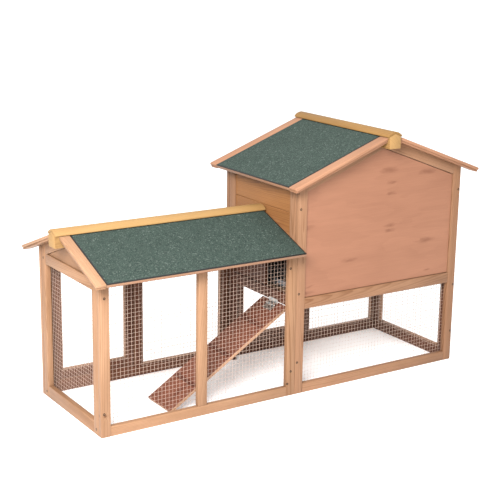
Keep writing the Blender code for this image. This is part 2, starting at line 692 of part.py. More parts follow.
def build_house_roof(wood, ply, felt, pale, steel):
    span = (Y_BACK - BOARD_PAST_WALL, Y_FRONT + BOARD_PAST_WALL)
    outer = HOUSE_LENGTH / 2 + HOUSE_EAVE
    rise = HINGE_OFF_FACE / math.cos(ROOF_PITCH)
    axis_distance = LID_EDGE + HINGE_RADIUS
    axis_height = felt_height(HOUSE_RIDGE, axis_distance) + rise
    lid = pivot("roof_lid_pivot", (X_RIDGE + axis_distance, 0, axis_height))
    battens = (
        ("back", (span[0] - GAP - HOUSE_BATTEN_WIDTH, span[0] - GAP)),
        ("front", (span[1] + GAP, span[1] + GAP + HOUSE_BATTEN_WIDTH)),
    )
    for label, side, inner, parent in (("left", -1, FIXED_EDGE, None), ("right", 1, LID_EDGE, lid)):
        name = "house_roof_" + label
        slope = (name, HOUSE_RIDGE, X_RIDGE, side, "y", span, inner, outer)
        roof_slope(*slope, ply, felt, parent)
        strip = shifted(slab_outline(HOUSE_RIDGE, side, inner, outer, 0, BATTEN), X_RIDGE)
        for end, reach in battens:
            prism(name + "_" + end + "_batten", strip, "y", reach, wood, parent)
    beam_y = (Y_BACK - BEAM_OVERHANG, Y_FRONT + BEAM_OVERHANG)
    prism("house_ridge_beam", shifted(beam_outline(HOUSE_RIDGE), X_RIDGE), "y", beam_y, pale)
    cap = shifted(cap_outline(HOUSE_RIDGE), X_RIDGE)
    prism("house_ridge_cap", cap, "y", beam_y, pale, eased=False)
    reach = DEPTH / 2 - LID_HINGE_FROM_GABLE
    for name, along in (("roof_lid_hinge_back", -reach), ("roof_lid_hinge_front", reach)):
        hinge = make_hinge(name, lid, "y", 1, steel)
        hinge.location = (0, along, 0)
        hinge.rotation_euler = (0, ROOF_PITCH, 0)


def build_ramp(board, steel):
    """The ramp, in the frame of its hinge: its own X runs up the slope to the hinge."""
    hinge_x = X_HOUSE - RAMP_WALL_GAP
    hinge_z = MIDDLE_RAIL_BOTTOM - RAMP_DROP
    run = RAMP_FOOT - RAMP_WALL_GAP
    rise = hinge_z - RAMP_BOARD - HINGE_OFF_FACE
    slope = math.atan2(rise, run)
    length = math.hypot(run, rise)
    back = Y_BACK + TIMBER + STILE + RAMP_FROM_STILE
    middle = back + RAMP_WIDTH / 2
    axis = pivot("ramp_pivot", (hinge_x, middle, hinge_z), -slope)
    half = RAMP_WIDTH / 2
    top = -HINGE_OFF_FACE
    mesh = box_mesh("ramp", Vector((length + RAMP_TUCK, RAMP_WIDTH, RAMP_BOARD)))
    mesh.transform(Matrix.Translation(((RAMP_TUCK - length) / 2, 0, top - RAMP_BOARD / 2)))
    ramp = add_object("ramp", mesh, board)
    for number in range(int((length - CLEAT_FROM_FOOT) / CLEAT_PITCH) + 1):
        centre = -length + CLEAT_FROM_FOOT + CLEAT_PITCH * number
        size = Vector((CLEAT_WIDTH, 2 * (half - CLEAT_END_MARGIN), 2 * CLEAT_HEIGHT))
        cleat_mesh = box_mesh("ramp.cleat", size)
        cleat_mesh.transform(Matrix.Translation((centre, 0, top)))
        cleat = add_object("ramp.cleat", cleat_mesh, None)
        cleat.parent = ramp
        combine(ramp, cleat, "UNION")
    ramp.parent = axis
    make_hinge("ramp_hinge", axis, "y", -1, steel)


def build_hutch():
    clear_scene()
    timber = make_material("planed fir", (0.79, 0.53, 0.31), 0.6)
    house_timber = make_material("red fir", (0.66, 0.42, 0.25), 0.6)
    pale = make_material("pale pine", (0.80, 0.58, 0.33), 0.55)
    ply = make_material("okoume ply", (0.70, 0.42, 0.30), 0.65)
    board = make_material("matchboard", (0.62, 0.38, 0.22), 0.6)
    ramp_board = make_material("stained ramp ply", (0.42, 0.19, 0.13), 0.7)
    felt = make_material("green mineral felt", (0.10, 0.15, 0.12), 0.95)
    wire = make_material("welded wire mesh", (0.70, 0.68, 0.65), 0.4, 0.9)
    steel = make_material("zinc-plated steel", (0.62, 0.62, 0.60), 0.35, 1.0)
    build_run_back(timber, wire)
    build_run_end(timber, ply, wire)
    build_run_front(timber, wire)
    build_run_door(timber, wire, steel)
    build_run_roof(timber, ply, felt, pale)
    build_house_back(house_timber, ply, wire)
    build_house_left(house_timber, board)
    build_house_right(house_timber, board, wire)
    build_house_front(house_timber, ply, wire)
    build_house_door(house_timber, steel)
    build_floor_and_tray(ply, steel)
    build_house_roof(house_timber, ply, felt, pale, steel)
    build_ramp(ramp_board, steel)


build_hutch()
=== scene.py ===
# %% [markdown]
# # The looks of a two-storey rabbit hutch
#
# The hutch is flat-packed joinery: planed fir posts and rails, two little felted roofs, walls of
# matchboard and plywood, and welded wire in every opening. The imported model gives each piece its
# place and size. This lesson builds the surfaces that stand for those pieces, with the rounded
# edges, grain, granules and wire that the plain solids don't have.

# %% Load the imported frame
import json
import math

import bpy
import numpy as np
from mathutils import Matrix, Vector
from mathutils.geometry import convex_hull_2d


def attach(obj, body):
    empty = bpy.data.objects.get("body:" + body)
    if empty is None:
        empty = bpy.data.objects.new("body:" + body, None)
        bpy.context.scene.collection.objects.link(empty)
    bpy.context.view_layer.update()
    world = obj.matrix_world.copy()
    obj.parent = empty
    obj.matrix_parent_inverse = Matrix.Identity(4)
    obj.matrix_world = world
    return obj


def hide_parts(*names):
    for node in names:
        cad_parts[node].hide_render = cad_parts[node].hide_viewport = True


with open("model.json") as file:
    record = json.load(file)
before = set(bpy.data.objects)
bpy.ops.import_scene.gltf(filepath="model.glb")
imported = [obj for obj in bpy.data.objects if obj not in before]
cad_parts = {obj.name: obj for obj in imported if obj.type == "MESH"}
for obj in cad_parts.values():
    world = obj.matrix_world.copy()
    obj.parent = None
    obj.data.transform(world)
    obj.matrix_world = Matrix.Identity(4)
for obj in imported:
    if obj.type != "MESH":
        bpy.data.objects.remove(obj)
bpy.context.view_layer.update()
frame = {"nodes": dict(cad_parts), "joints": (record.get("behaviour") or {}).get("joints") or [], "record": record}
record = frame["record"]
body_of_node = {
    node: body for body, nodes in record["behaviour"]["bodies"].items() for node in nodes
}
slot_of_node = {part["node"]: part["material_slot"] for part in record["subparts"]}

# %% [markdown]
# ## The camera and the studio
#
# The hutch stands on a white sweep and is seen from a little above its own height, from the run's
# end. A lens a good deal longer than normal keeps the uprights nearly parallel. The camera comes
# first, because everything later is judged through it.

# %% The camera
CAMERA_PLACE = (-2.1217, -3.1909, 1.4414)
CAMERA_YAW = 0.5805
CAMERA_PITCH = 0.2554
CAMERA_ROLL = 0.0164
LENS = 85.88


def look_axes(yaw, pitch, roll):
    """The camera's right, up and back directions, from compass, tilt and lean angles."""
    ahead = Vector((
        math.sin(yaw) * math.cos(pitch), math.cos(yaw) * math.cos(pitch), -math.sin(pitch)
    ))
    level = Vector((math.cos(yaw), -math.sin(yaw), 0))
    over = level.cross(ahead)
    right = math.cos(roll) * level + math.sin(roll) * over
    up = math.cos(roll) * over - math.sin(roll) * level
    return right, up, -ahead


camera_data = bpy.data.cameras.new("camera")
camera = bpy.data.objects.new("camera", camera_data)
bpy.context.scene.collection.objects.link(camera)
camera_data.lens = LENS
right, up, back = look_axes(CAMERA_YAW, CAMERA_PITCH, CAMERA_ROLL)
rows = [(right[i], up[i], back[i], CAMERA_PLACE[i]) for i in range(3)]
camera.matrix_world = Matrix(rows + [(0, 0, 0, 1)])
bpy.context.scene.camera = camera
print("camera at", CAMERA_PLACE)

# %% [markdown]
# Product light is broad and even: a white surround fills the shadows, and large panels give the
# near side a little more than the end. Area lights do this with soft edges and no hot spots.

# %% The surround and the lights
SURROUND = 1.04
LIGHTS = {
    "key": ((-2.3, -2.1, 2.3), (1.6, 1.4), 310.0),
    "fill": ((1.4, -3.6, 1.8), (2.0, 2.0), 6.0),
    "top": ((-0.2, 0.2, 3.4), (3.0, 2.6), 60.0),
}
AIM = Vector((0, 0, 0.35))
world = bpy.data.worlds.new("white surround")
bpy.context.scene.world = world
world.use_nodes = True
world.node_tree.nodes["Background"].inputs["Color"].default_value = (1, 1, 1, 1)
world.node_tree.nodes["Background"].inputs["Strength"].default_value = SURROUND
for name, (place, size, power) in LIGHTS.items():
    light = bpy.data.lights.new(name, "AREA")
    light.shape = "RECTANGLE"
    light.size, light.size_y = size
    light.energy = power
    lamp = bpy.data.objects.new(name, light)
    bpy.context.scene.collection.objects.link(lamp)
    lamp.location = place
    lamp.rotation_euler = (Vector(place) - AIM).to_track_quat("Z", "Y").to_euler()
bpy.context.scene.view_settings.view_transform = "Standard"
print(len(LIGHTS), "area lights")

# %% [markdown]
# ## Reading sizes from the solids
#
# A new piece has to sit exactly where its solid does. Instead of typing sizes again, a helper
# looks at a solid along one axis and returns its outline. The solids have tiny cut corners, so
# the outline's short edges are dropped and the long ones are run on until they meet.

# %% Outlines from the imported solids
AXES = {"x": 0, "y": 1, "z": 2}
SHORT_EDGE = 0.0015
GAP = 0.0004


def points_of(node):
    """All of a solid's points, as an array of rows."""
    mesh = frame["nodes"][node].data
    flat = np.empty(len(mesh.vertices) * 3, np.float32)
    mesh.vertices.foreach_get("co", flat)
    return flat.reshape(-1, 3).astype(float)


def across_of(axis):
    """The two columns of an outline seen along an axis."""
    return [i for i in range(3) if i != AXES[axis]]


def section(node, axis):
    """A convex solid's outline seen along an axis. Each corner is where two long edges' lines
    meet: one edge's start plus the share of its length at which the other line crosses it."""
    flat = np.unique(points_of(node)[:, across_of(axis)].round(5), axis=0)
    hull = flat[convex_hull_2d([Vector(point) for point in flat])]
    spoke = hull - hull.mean(axis=0)
    hull = hull[np.argsort(np.arctan2(spoke[:, 1], spoke[:, 0]))]
    reach = np.roll(hull, -1, axis=0) - hull
    long = np.linalg.norm(reach, axis=1) > SHORT_EDGE
    start, reach = hull[long], reach[long]
    before, before_reach = np.roll(start, 1, axis=0), np.roll(reach, 1, axis=0)
    across = before_reach[:, 0] * reach[:, 1] - before_reach[:, 1] * reach[:, 0]
    apart = start - before
    share = (apart[:, 0] * reach[:, 1] - apart[:, 1] * reach[:, 0]) / across
    return before + before_reach * share[:, None]


def longest_edge(outline):
    """The direction of an outline's longest edge, with length one."""
    edges = np.roll(outline, -1, axis=0) - outline
    lengths = np.linalg.norm(edges, axis=1)
    return edges[np.argmax(lengths)] / lengths.max()


def span(node, axis):
    """The lowest and highest value of a solid on one axis."""
    values = points_of(node)[:, AXES[axis]]
    return float(values.min()), float(values.max())


class Roof:
    """Height lines of one pitched roof: height = line - slope * distance from the ridge."""

    def __init__(self, board, axis, middle):
        outline = section(board, axis)
        way = longest_edge(outline)
        self.slope = abs(way[1] / way[0])
        self.pitch = math.atan(self.slope)
        self.under = float((outline[:, 1] + self.slope * abs(outline[:, 0] - middle)).min())
        self.middle = middle

    def wall(self, distance):
        """Where the timber that carries the boards ends."""
        return self.under - GAP - self.slope * distance


RUN_X = span("run_end_frame", "x")[0]
HOUSE_X = span("house_left_frame", "x")[0]
END_X = span("house_right_frame", "x")[1]
RIDGE_X = (HOUSE_X + END_X) / 2
BACK_Y = span("house_back_left_stile", "y")
FRONT_Y = span("house_front_frame", "y")
TIMBER = BACK_Y[1] - BACK_Y[0]
STILE = np.ptp(span("run_back_left_stile", "x"))
run_roof = Roof("run_roof_front_board", "x", 0.0)
house_roof = Roof("house_roof_right_board", "y", RIDGE_X)
print(f"timber {TIMBER:.3f} by {STILE:.3f}, roof pitch {math.degrees(run_roof.pitch):.1f} degrees")

# %% [markdown]
# ## Shapes as arrays
#
# Nearly every piece here is an outline carried through a thickness, so one function does most of
# the work. The outline's corners become small curves, and near each end the outline shrinks a
# little, ring by ring, as a planed edge does. Each point also keeps where it lies in its own
# piece of wood, in a frame turned along the grain. The grain is then cut by the faces as real
# growth rings are: lines along the sides and arcs on the ends.

# %% Outlines with rounded corners
CORNER_STEPS = 3
EASE = 0.0012
WORN_CORNER = 1.5
luck = np.random.default_rng(11)


def rounded(outline, radius):
    """Each corner becomes a curve: start (1-t)^2 + corner 2t(1-t) + end t^2. It returns the points
    and, for each, how near it is to the middle of its corner."""
    corner = np.asarray(outline, float)
    before, after = np.roll(corner, 1, axis=0) - corner, np.roll(corner, -1, axis=0) - corner
    before /= np.linalg.norm(before, axis=1)[:, None]
    after /= np.linalg.norm(after, axis=1)[:, None]
    t = np.linspace(0, 1, CORNER_STEPS)[None, :, None]
    start, end = (corner + radius * before)[:, None], (corner + radius * after)[:, None]
    curve = start * (1 - t) ** 2 + corner[:, None] * 2 * t * (1 - t) + end * t**2
    edge = np.broadcast_to(1 - abs(2 * t[..., 0] - 1), curve.shape[:2])
    return curve.reshape(-1, 2), edge.reshape(-1)


def inset(outline, distance):
    """Each point moves inwards by the mean of its two edges' normals, further at a sharp turn."""
    reach = np.roll(outline, -1, axis=0) - outline
    normal = np.stack([reach[:, 1], -reach[:, 0]], axis=1)
    normal /= np.linalg.norm(normal, axis=1)[:, None]
    other = np.roll(normal, 1, axis=0)
    mean = (normal + other) / (1 + (normal * other).sum(axis=1))[:, None]
    return outline - distance * mean


def area_of(outline):
    """Half the sum of each edge's cross product: above zero when the outline runs anticlockwise."""
    after = np.roll(outline, -1, axis=0)
    return float((outline[:, 0] * after[:, 1] - outline[:, 1] * after[:, 0]).sum() / 2)


# %% Rings of points made into a closed surface
def closed_tube(rings, edge=None):
    """Rings, an array of (ring, point, xyz), joined by four-sided faces and capped at both ends.
    Edge says how worn each point is: nowhere, unless it's given."""
    count, around = rings.shape[:2]
    ring = np.arange(count - 1)[:, None] * around
    here = np.arange(around)[None, :]
    after = (here + 1) % around
    quads = np.stack([ring + here, ring + after, ring + around + after, ring + around + here], -1)
    last = (count - 1) * around + np.arange(around)
    faces = [quads.reshape(-1, 4), np.arange(around)[::-1][None], last[None]]
    edge = np.zeros(count * around) if edge is None else edge.reshape(-1)
    return {"points": rings.reshape(-1, 3), "faces": faces, "edge": edge}


def ease_rings(low, high, ease, steps=2):
    """Insets and heights of the rings: a quarter circle at each end of the thickness."""
    turn = np.linspace(0, math.pi / 2, steps + 1)
    near = [(ease * (1 - math.sin(a)), low + ease * (1 - math.cos(a))) for a in turn]
    far = [(shrink, high - (height - low)) for shrink, height in reversed(near)]
    nearness = 1 - abs(2 * turn / (math.pi / 2) - 1)
    return near + far, np.concatenate([nearness, nearness[::-1]])


def loft(outline, axis, rings, ring_edge, corner=EASE):
    """An outline carried along an axis through (inset, height) rings."""
    flat, corner_edge = rounded(outline, corner)
    if area_of(flat) < 0:
        flat, corner_edge = flat[::-1], corner_edge[::-1]
    levels = []
    for shrink, height in rings:
        level = np.empty((len(flat), 3))
        level[:, across_of(axis)] = inset(flat, shrink)
        level[:, AXES[axis]] = height
        levels.append(level)
    edge = np.maximum(np.asarray(ring_edge)[:, None], corner_edge[None, :])
    shape = closed_tube(np.array(levels), edge)
    if axis == "y":
        shape["faces"] = [face[:, ::-1] for face in shape["faces"]]
    return shape


def solid(outline, axis, low, high, ease=EASE, steps=2, corner=None):
    """An outline carried from low to high along an axis, with all its edges eased."""
    rings, edge = ease_rings(low, high, ease, steps)
    return loft(outline, axis, rings, edge, WORN_CORNER * ease if corner is None else corner)


def rectangle(a, b):
    """An outline from its range on each of its two axes."""
    return [(a[0], b[0]), (a[1], b[0]), (a[1], b[1]), (a[0], b[1])]


print("outline tools ready:", CORNER_STEPS, "points at each corner")

# %% [markdown]
# ### A piece's own place in the log
#
# A board is sawn from somewhere in a round trunk. The frame of each piece has its first axis along
# the grain, and its other two start from an imagined pith a few centimetres away, at a slight
# angle. That angle is what makes the pointed arches on a flat-sawn face.

# %% Coordinates inside the wood
DIRECTIONS = {"x": (1, 0, 0), "y": (0, 1, 0), "z": (0, 0, 1)}


def heading(name_or_vector):
    """An axis name or any vector, as a direction of length one."""
    named = isinstance(name_or_vector, str)
    vector = np.asarray(DIRECTIONS[name_or_vector] if named else name_or_vector, float)
    return vector / np.linalg.norm(vector)


def in_the_log(shape, grain, thin, near=0.022, far=0.06, tilt=0.035, darker=0.0):
    """Adds each point's place along the grain and out from the pith, and one tone for the piece.
    The place is the point's distance from the piece's middle, measured along three crossed axes,
    plus the pith's offset and a lean that grows along the grain."""
    along, thick = heading(grain), heading(thin)
    across = np.cross(thick, along)
    middle = (shape["points"].min(axis=0) + shape["points"].max(axis=0)) / 2
    own = (shape["points"] - middle) @ np.array([along, across, thick]).T
    bearing = luck.uniform(-1.1, 1.1) + luck.integers(2) * math.pi
    pith = luck.uniform(near, far) * np.array([math.sin(bearing), math.cos(bearing)])
    lean = luck.normal(0, tilt, 2)
    own[:, 1:] += pith + own[:, :1] * lean
    own[:, 0] += luck.uniform(0, 40)
    shape["wood"] = own
    shape["tone"] = np.full(len(own), darker + np.clip(luck.normal(0, 1), -1.8, 1.8))
    return shape


def timber(x, y, z, grain, ease=EASE):
    """A rectangular timber between two values on each axis, sawn along one of them."""
    sides = {"x": x, "y": y, "z": z}
    flat = [sides[name] for name in "xyz" if name != grain]
    thin = min((name for name in "xyz" if name != grain), key=lambda name: np.ptp(sides[name]))
    return in_the_log(solid(rectangle(*flat), grain, *sides[grain], ease), grain, thin)


def whole(node, axis, grain, thin=None, ease=EASE, **sawn):
    """A solid's outline along an axis, remade as one eased timber or sheet."""
    return in_the_log(
        solid(section(node, axis), axis, *span(node, axis), ease), grain, thin or axis, **sawn
    )


def shade_inward_faces(shapes, axis, face, reach=0.0006):
    """Marks the points that lie on an inward face, within a small reach of its place on an axis, for painted
    shade.
    """
    for shape in shapes:
        shape["inside"] = (abs(shape["points"][:, AXES[axis]] - face) < reach).astype(float)
    return shapes


def shade_under_roof(shapes, height, reach=0.02):
    """Marks painted shade below the run's roof by (height - z) / reach, which stays exact between
    far-apart points because it's never cut off here: the finish does that."""
    for shape in shapes:
        shape["inside"] = (height - shape["points"][:, 2]) / reach
    return shapes


def darker_by(shapes, amount):
    """Moves the tone of several sticks towards the dark wood."""
    for shape in shapes:
        shape["tone"] = shape["tone"] + amount
    return shapes


print("grain frames ready")

# %% [markdown]
# ### From arrays to objects
#
# A finished piece is several shapes in one mesh. The arrays go in whole, with attributes for the
# wood's place, the piece's tone and the worn edges. The object stays at the origin.

# %% Mesh objects from shapes
SMOOTH_UNDER = math.radians(32)
ATTRIBUTES = {
    "wood": ("FLOAT_VECTOR", "vector"),
    "tone": ("FLOAT", "value"),
    "edge": ("FLOAT", "value"),
    "inside": ("FLOAT", "value"),
}


def mesh_of(name, shapes, smooth_under=SMOOTH_UNDER):
    """Joins shapes: each one's face numbers are raised by the count of points before it."""
    counts = [len(shape["points"]) for shape in shapes]
    first = np.cumsum([0] + counts[:-1])
    loops, sizes, looks = [], [], []
    for shape, base in zip(shapes, first):
        for faces in shape["faces"]:
            loops.append((faces + base).reshape(-1))
            sizes.append(np.full(len(faces), faces.shape[1]))
            looks.append(np.full(len(faces), shape.get("look", 0)))
    loops, sizes, looks = map(np.concatenate, (loops, sizes, looks))
    mesh = bpy.data.meshes.new(name)
    mesh.vertices.add(sum(counts))
    mesh.vertices.foreach_set("co", np.concatenate([s["points"] for s in shapes]).reshape(-1))
    mesh.loops.add(len(loops))
    mesh.loops.foreach_set("vertex_index", loops.astype(np.int32))
    mesh.polygons.add(len(sizes))
    mesh.polygons.foreach_set("loop_start", (np.cumsum(sizes) - sizes).astype(np.int32))
    mesh.polygons.foreach_set("material_index", looks.astype(np.int32))
    mesh.update(calc_edges=True)
    for label, (kind, field) in ATTRIBUTES.items():
        width = 3 if kind == "FLOAT_VECTOR" else 1
        blank = [s["points"] if label == "wood" else np.zeros(len(s["points"])) for s in shapes]
        values = np.concatenate([s.get(label, b) for s, b in zip(shapes, blank)])
        kept = mesh.attributes.new(label, kind, "POINT")
        kept.data.foreach_set(field, values.reshape(-1, width).reshape(-1).astype(np.float32))
    mesh.shade_smooth()
    mesh.set_sharp_from_angle(angle=smooth_under)
    return mesh


made = {}


def add_piece(name, shapes, looks, body, nodes=(), smooth_under=SMOOTH_UNDER):
    """One object that rides on a body and may stand for some of its solids."""
    mesh = mesh_of(name, shapes, smooth_under)
    for look in looks if isinstance(looks, list) else [looks]:
        mesh.materials.append(look)
    piece = bpy.data.objects.new(name, mesh)
    bpy.context.scene.collection.objects.link(piece)
    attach(piece, body)
    if nodes:
        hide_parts(*nodes)
    made[name] = len(mesh.polygons)
    return piece


def stand_for(node, suffix, shapes, looks, smooth_under=SMOOTH_UNDER):
    """A piece that takes a node's place and its body."""
    name = f"{node}_{suffix}"
    body, slot = body_of_node[node], slot_of_node[node]
    return add_piece(name, shapes, looks, body, [node], smooth_under)


print("mesh tools ready")

# %% [markdown]
# ## Finishes
#
# A finish is a small network of nodes that turns a place on the piece into colour, gloss and
# height. Networks are wordy when every sum is a node, so a node's output is wrapped as a value
# that can be summed and multiplied in plain writing. Short helpers do the rest.

# %% Helpers for node networks
class Value:
    """A node's output that can be summed and multiplied. Each sum adds one maths node."""

    def __init__(self, tree, socket):
        self.tree, self.socket = tree, socket

    def __add__(self, other):
        return calc("ADD", self, other)

    def __sub__(self, other):
        return calc("SUBTRACT", self, other)

    def __rsub__(self, other):
        return calc("SUBTRACT", other, self)

    def __mul__(self, other):
        return calc("MULTIPLY", self, other)

    def __truediv__(self, other):
        return calc("DIVIDE", self, other)

    def __rtruediv__(self, other):
        return calc("DIVIDE", other, self)


def put(tree, kind, inputs=None, **settings):
    """Adds a node, with its settings and with numbers or links for its inputs."""
    node = tree.nodes.new("ShaderNode" + kind)
    for name, setting in settings.items():
        setattr(node, name, setting)
    for key, value in (inputs or {}).items():
        if isinstance(value, Value):
            tree.links.new(value.socket, node.inputs[key])
        else:
            node.inputs[key].default_value = value
    return node


def result(kind, output, inputs, **settings):
    """Adds a node to the network that its inputs come from, and gives one of its outputs."""
    tree = next(value.tree for value in inputs.values() if isinstance(value, Value))
    return Value(tree, put(tree, kind, inputs, **settings).outputs[output])


def send(value, socket):
    """Links a value to a shader's or a group's own input."""
    value.tree.links.new(value.socket, socket)


def calc(operation, *values, clamp=False):
    """One sum of numbers or values."""
    return result("Math", 0, dict(enumerate(values)), operation=operation, use_clamp=clamp)


def vector(operation, a, b):
    """The same for places, one axis at a time."""
    return result("VectorMath", 0, {0: a, 1: b}, operation=operation)


def fade(value, low, high, to_low=0.0, to_high=1.0):
    """A soft step: to_low below low, to_high above high."""
    names = ("Value", "From Min", "From Max", "To Min", "To Max")
    inputs = dict(zip(names, (value, low, high, to_low, to_high)))
    return result("MapRange", "Result", inputs, interpolation_type="SMOOTHSTEP")


def tint(share, a, b, blend="MIX"):
    """Colour a, with a share of colour b blended in."""
    return result("Mix", 2, {0: share, 6: a, 7: b}, data_type="RGBA", blend_type=blend)


def times_colour(colour, red, green, blue):
    """A darker or warmer copy of a colour."""
    return tint(1.0, colour, (red, green, blue, 1), "MULTIPLY")


def stretch(place, scale, offset=0.0):
    """A place scaled by a different number on each axis, shifted by a number on all three."""
    return vector("ADD", vector("MULTIPLY", place, scale), (offset,) * 3)


def noise(place, scale=1.0, detail=2.0, rough=0.5, output="Fac"):
    """Smooth chance between 0 and 1."""
    inputs = {"Vector": place, "Scale": scale, "Detail": detail, "Roughness": rough}
    return result("TexNoise", output, inputs)


def split(value, kind):
    """The three parts of a place or a colour."""
    node = put(value.tree, "Separate" + kind, {0: value})
    return [Value(value.tree, node.outputs[i]) for i in range(3)]


def cells(place, scale=1.0, dimensions="3D"):
    """A cell texture: the distance from a cell's middle, and three chance numbers for the cell."""
    inputs = {"Vector": place, "Scale": scale}
    node = put(place.tree, "TexVoronoi", inputs, voronoi_dimensions=dimensions)
    chance = split(Value(place.tree, node.outputs["Color"]), "Color")
    return Value(place.tree, node.outputs["Distance"]), chance


def new_group(name, inputs):
    """A node group for a figure. It returns the tree, its inputs as values, and its outputs."""
    tree = bpy.data.node_groups.new(name, "ShaderNodeTree")
    for label, kind, value in inputs:
        socket = tree.interface.new_socket(label, in_out="INPUT", socket_type="NodeSocket" + kind)
        socket.default_value = value
    for label, kind in (("Color", "Color"), ("Roughness", "Float"), ("Height", "Float")):
        tree.interface.new_socket(label, in_out="OUTPUT", socket_type="NodeSocket" + kind)
    sockets = tree.nodes.new("NodeGroupInput").outputs
    given = {label: Value(tree, sockets[label]) for label, _, _ in inputs}
    return tree, given, tree.nodes.new("NodeGroupOutput").inputs


print("node helpers ready")

# %% [markdown]
# ### Solid timber
#
# Fir has wide pale spring growth that darkens slowly into a narrow summer line and then starts
# again at once. Distance from the pith, divided by a ring's width, gives that saw-tooth. Fine
# fibres run along the grain, slow clouds shift the tone, and a knot is a dark disc whose rings
# bend round it. The pith's own axis is the first one, so knots are scattered along it and round it.

# %% The timber group
WOOD_INPUTS = [
    ("Place", "Vector", (0, 0, 0)),
    ("Tone", "Float", 0.0),
    ("Edge", "Float", 0.0),
    ("Pale", "Color", (0.8, 0.5, 0.3, 1)),
    ("Dark", "Color", (0.5, 0.25, 0.1, 1)),
]
timber_group, given, gives = new_group("Timber figure", WOOD_INPUTS + [
    ("Ring width", "Float", 0.0032),
    ("Ring strength", "Float", 0.6),
    ("Knots", "Float", 0.3),
])
place, pale, dark = given["Place"], given["Pale"], given["Dark"]
along, across, thick = split(place, "XYZ")
distance = calc("SQRT", calc("POWER", across, 2.0) + calc("POWER", thick, 2.0))
waver = noise(stretch(place, (2.5, 14, 14)), detail=3.0)
round_the_pith = calc("ARCTAN2", across, thick) * 0.30
knot_distance, knot_chance = cells(
    result("CombineXYZ", 0, {0: along * 5.2, 1: round_the_pith}), dimensions="2D"
)
knot_here = calc("LESS_THAN", knot_chance[0], given["Knots"])
knot_near = knot_distance / (knot_chance[0] * 0.05 + 0.014)
bend = fade(knot_near, 4.5, 0.6) * knot_here
ring = (distance + waver * 0.010 + bend * 0.004) / given["Ring width"]
within = calc("FRACT", ring)
ring_chance = result("TexWhiteNoise", "Value", {"W": calc("FLOOR", ring)}, noise_dimensions="1D")
summer = fade(within, 0.35, 0.92) * fade(within, 1.0, 0.94) * fade(ring_chance, -0.3, 1.0)
fibre = noise(stretch(place, (14, 700, 700)))
flecks = noise(stretch(place, (45, 1500, 1500)), detail=1.0)
cloud = noise(stretch(place, (3.5, 22, 22), 7.0), detail=3.0)
share = summer * given["Ring strength"] + (fibre - 0.5) * 0.55 + (cloud - 0.5) * 1.3
share = calc("ADD", share + given["Tone"] * 0.11, 0.16, clamp=True)
pores = fade(flecks, 0.62, 0.8, 0.0, 0.35)
colour = tint(pores, tint(share, pale, dark), dark)
knot_rings = fade(calc("SINE", knot_near * 20.0), -1, 1, 0.75, 1)
knot_core = fade(knot_near, 1.15, 0.85) * knot_here * knot_rings
colour = tint(knot_core, colour, times_colour(dark, 0.42, 0.30, 0.24))
halo = fade(knot_near, 2.4, 1.0, 0.0, 0.35) * knot_here
colour = tint(halo, colour, dark)
scuff = given["Edge"] * fade(cloud, 0.35, 0.65, 0.1, 0.4)
send(tint(scuff, colour, times_colour(pale, 1.15, 1.12, 1.1)), gives["Color"])
send(fade(share, 0.0, 1.0, 0.58, 0.48), gives["Roughness"])
send(summer * 0.35 + fibre * 0.65 - pores * 0.8, gives["Height"])
print("timber group:", len(timber_group.nodes), "nodes")

# %% [markdown]
# ### Plywood
#
# A veneer is peeled from a turning log, so its figure is broad and lazy: wide bands like a
# map's contours, drawn out along the grain, with small eye-shaped marks where a twig was cut
# through. The sheet's edge shows its layers as stripes.

# %% The veneer group
LAYERS_PER_METRE = 420.0
veneer_group, given, gives = new_group("Veneer figure", WOOD_INPUTS + [
    ("Cut edge", "Color", (0.4, 0.3, 0.2, 1)),
    ("Contours", "Float", 0.5),
    ("Marks", "Float", 0.3),
])
place, dark, cut_edge = given["Place"], given["Dark"], given["Cut edge"]
hills = noise(stretch(place, (1.6, 7.0, 0.5)), detail=3.0, rough=0.55)
level = calc("FRACT", hills * 9.0)
line = fade(level, 0.2, 0.9) * fade(level, 1.0, 0.92)
fibre = noise(stretch(place, (10, 420, 20)), detail=3.0, rough=0.6)
cloud = noise(stretch(place, (2.4, 9.0, 1.0), 3.0), detail=4.0, rough=0.6)
wobble = vector("MULTIPLY", noise(stretch(place, (30, 90, 1)), output="Color"), (0.35,) * 3)
mark_place = vector("ADD", stretch(place, (6.0, 24.0, 0.0)), wobble)
mark_distance, mark_chance = cells(mark_place, dimensions="2D")
mark_here = calc("LESS_THAN", mark_chance[0], given["Marks"])
mark_size = fade(mark_chance[0], 0.0, given["Marks"], 0.36, 0.10)
mark = fade(mark_distance, mark_size, 0.0) * mark_here
share = line * given["Contours"] + (fibre - 0.5) * 0.65 + (cloud - 0.5) * 0.9
share = calc("ADD", share + given["Tone"] * 0.06, 0.30, clamp=True)
face = tint(mark * 0.5, tint(share, given["Pale"], dark), times_colour(dark, 0.55, 0.42, 0.36))
layer = fade(calc("FRACT", split(place, "XYZ")[2] * LAYERS_PER_METRE), 0.35, 0.65)
stripes = tint(layer, cut_edge, times_colour(cut_edge, 0.62, 0.52, 0.45))
send(tint(given["Edge"], face, stripes), gives["Color"])
send(fade(fibre, 0.2, 0.8, 0.62, 0.52), gives["Roughness"])
send(fibre - mark * 0.6, gives["Height"])
print("veneer group:", len(veneer_group.nodes), "nodes")

# %% [markdown]
# Each finish is then the same small step: read the piece's own attributes, pass them through a
# group with this wood's two colours, and feed the shader. A fourth attribute is painted shade: it
# darkens faces that look into the hutch, and other wood in shade, towards a red-brown.

# %% Wood finishes
WOOD_GLOSS = 0.2
# The colour that painted shade multiplies the wood by.
INSIDE_SHADE = (0.34, 0.22, 0.20)


def new_look(name):
    """A material, its network and its shader."""
    look = bpy.data.materials.new(name)
    look.use_nodes = True
    return look, look.node_tree, look.node_tree.nodes["Principled BSDF"]


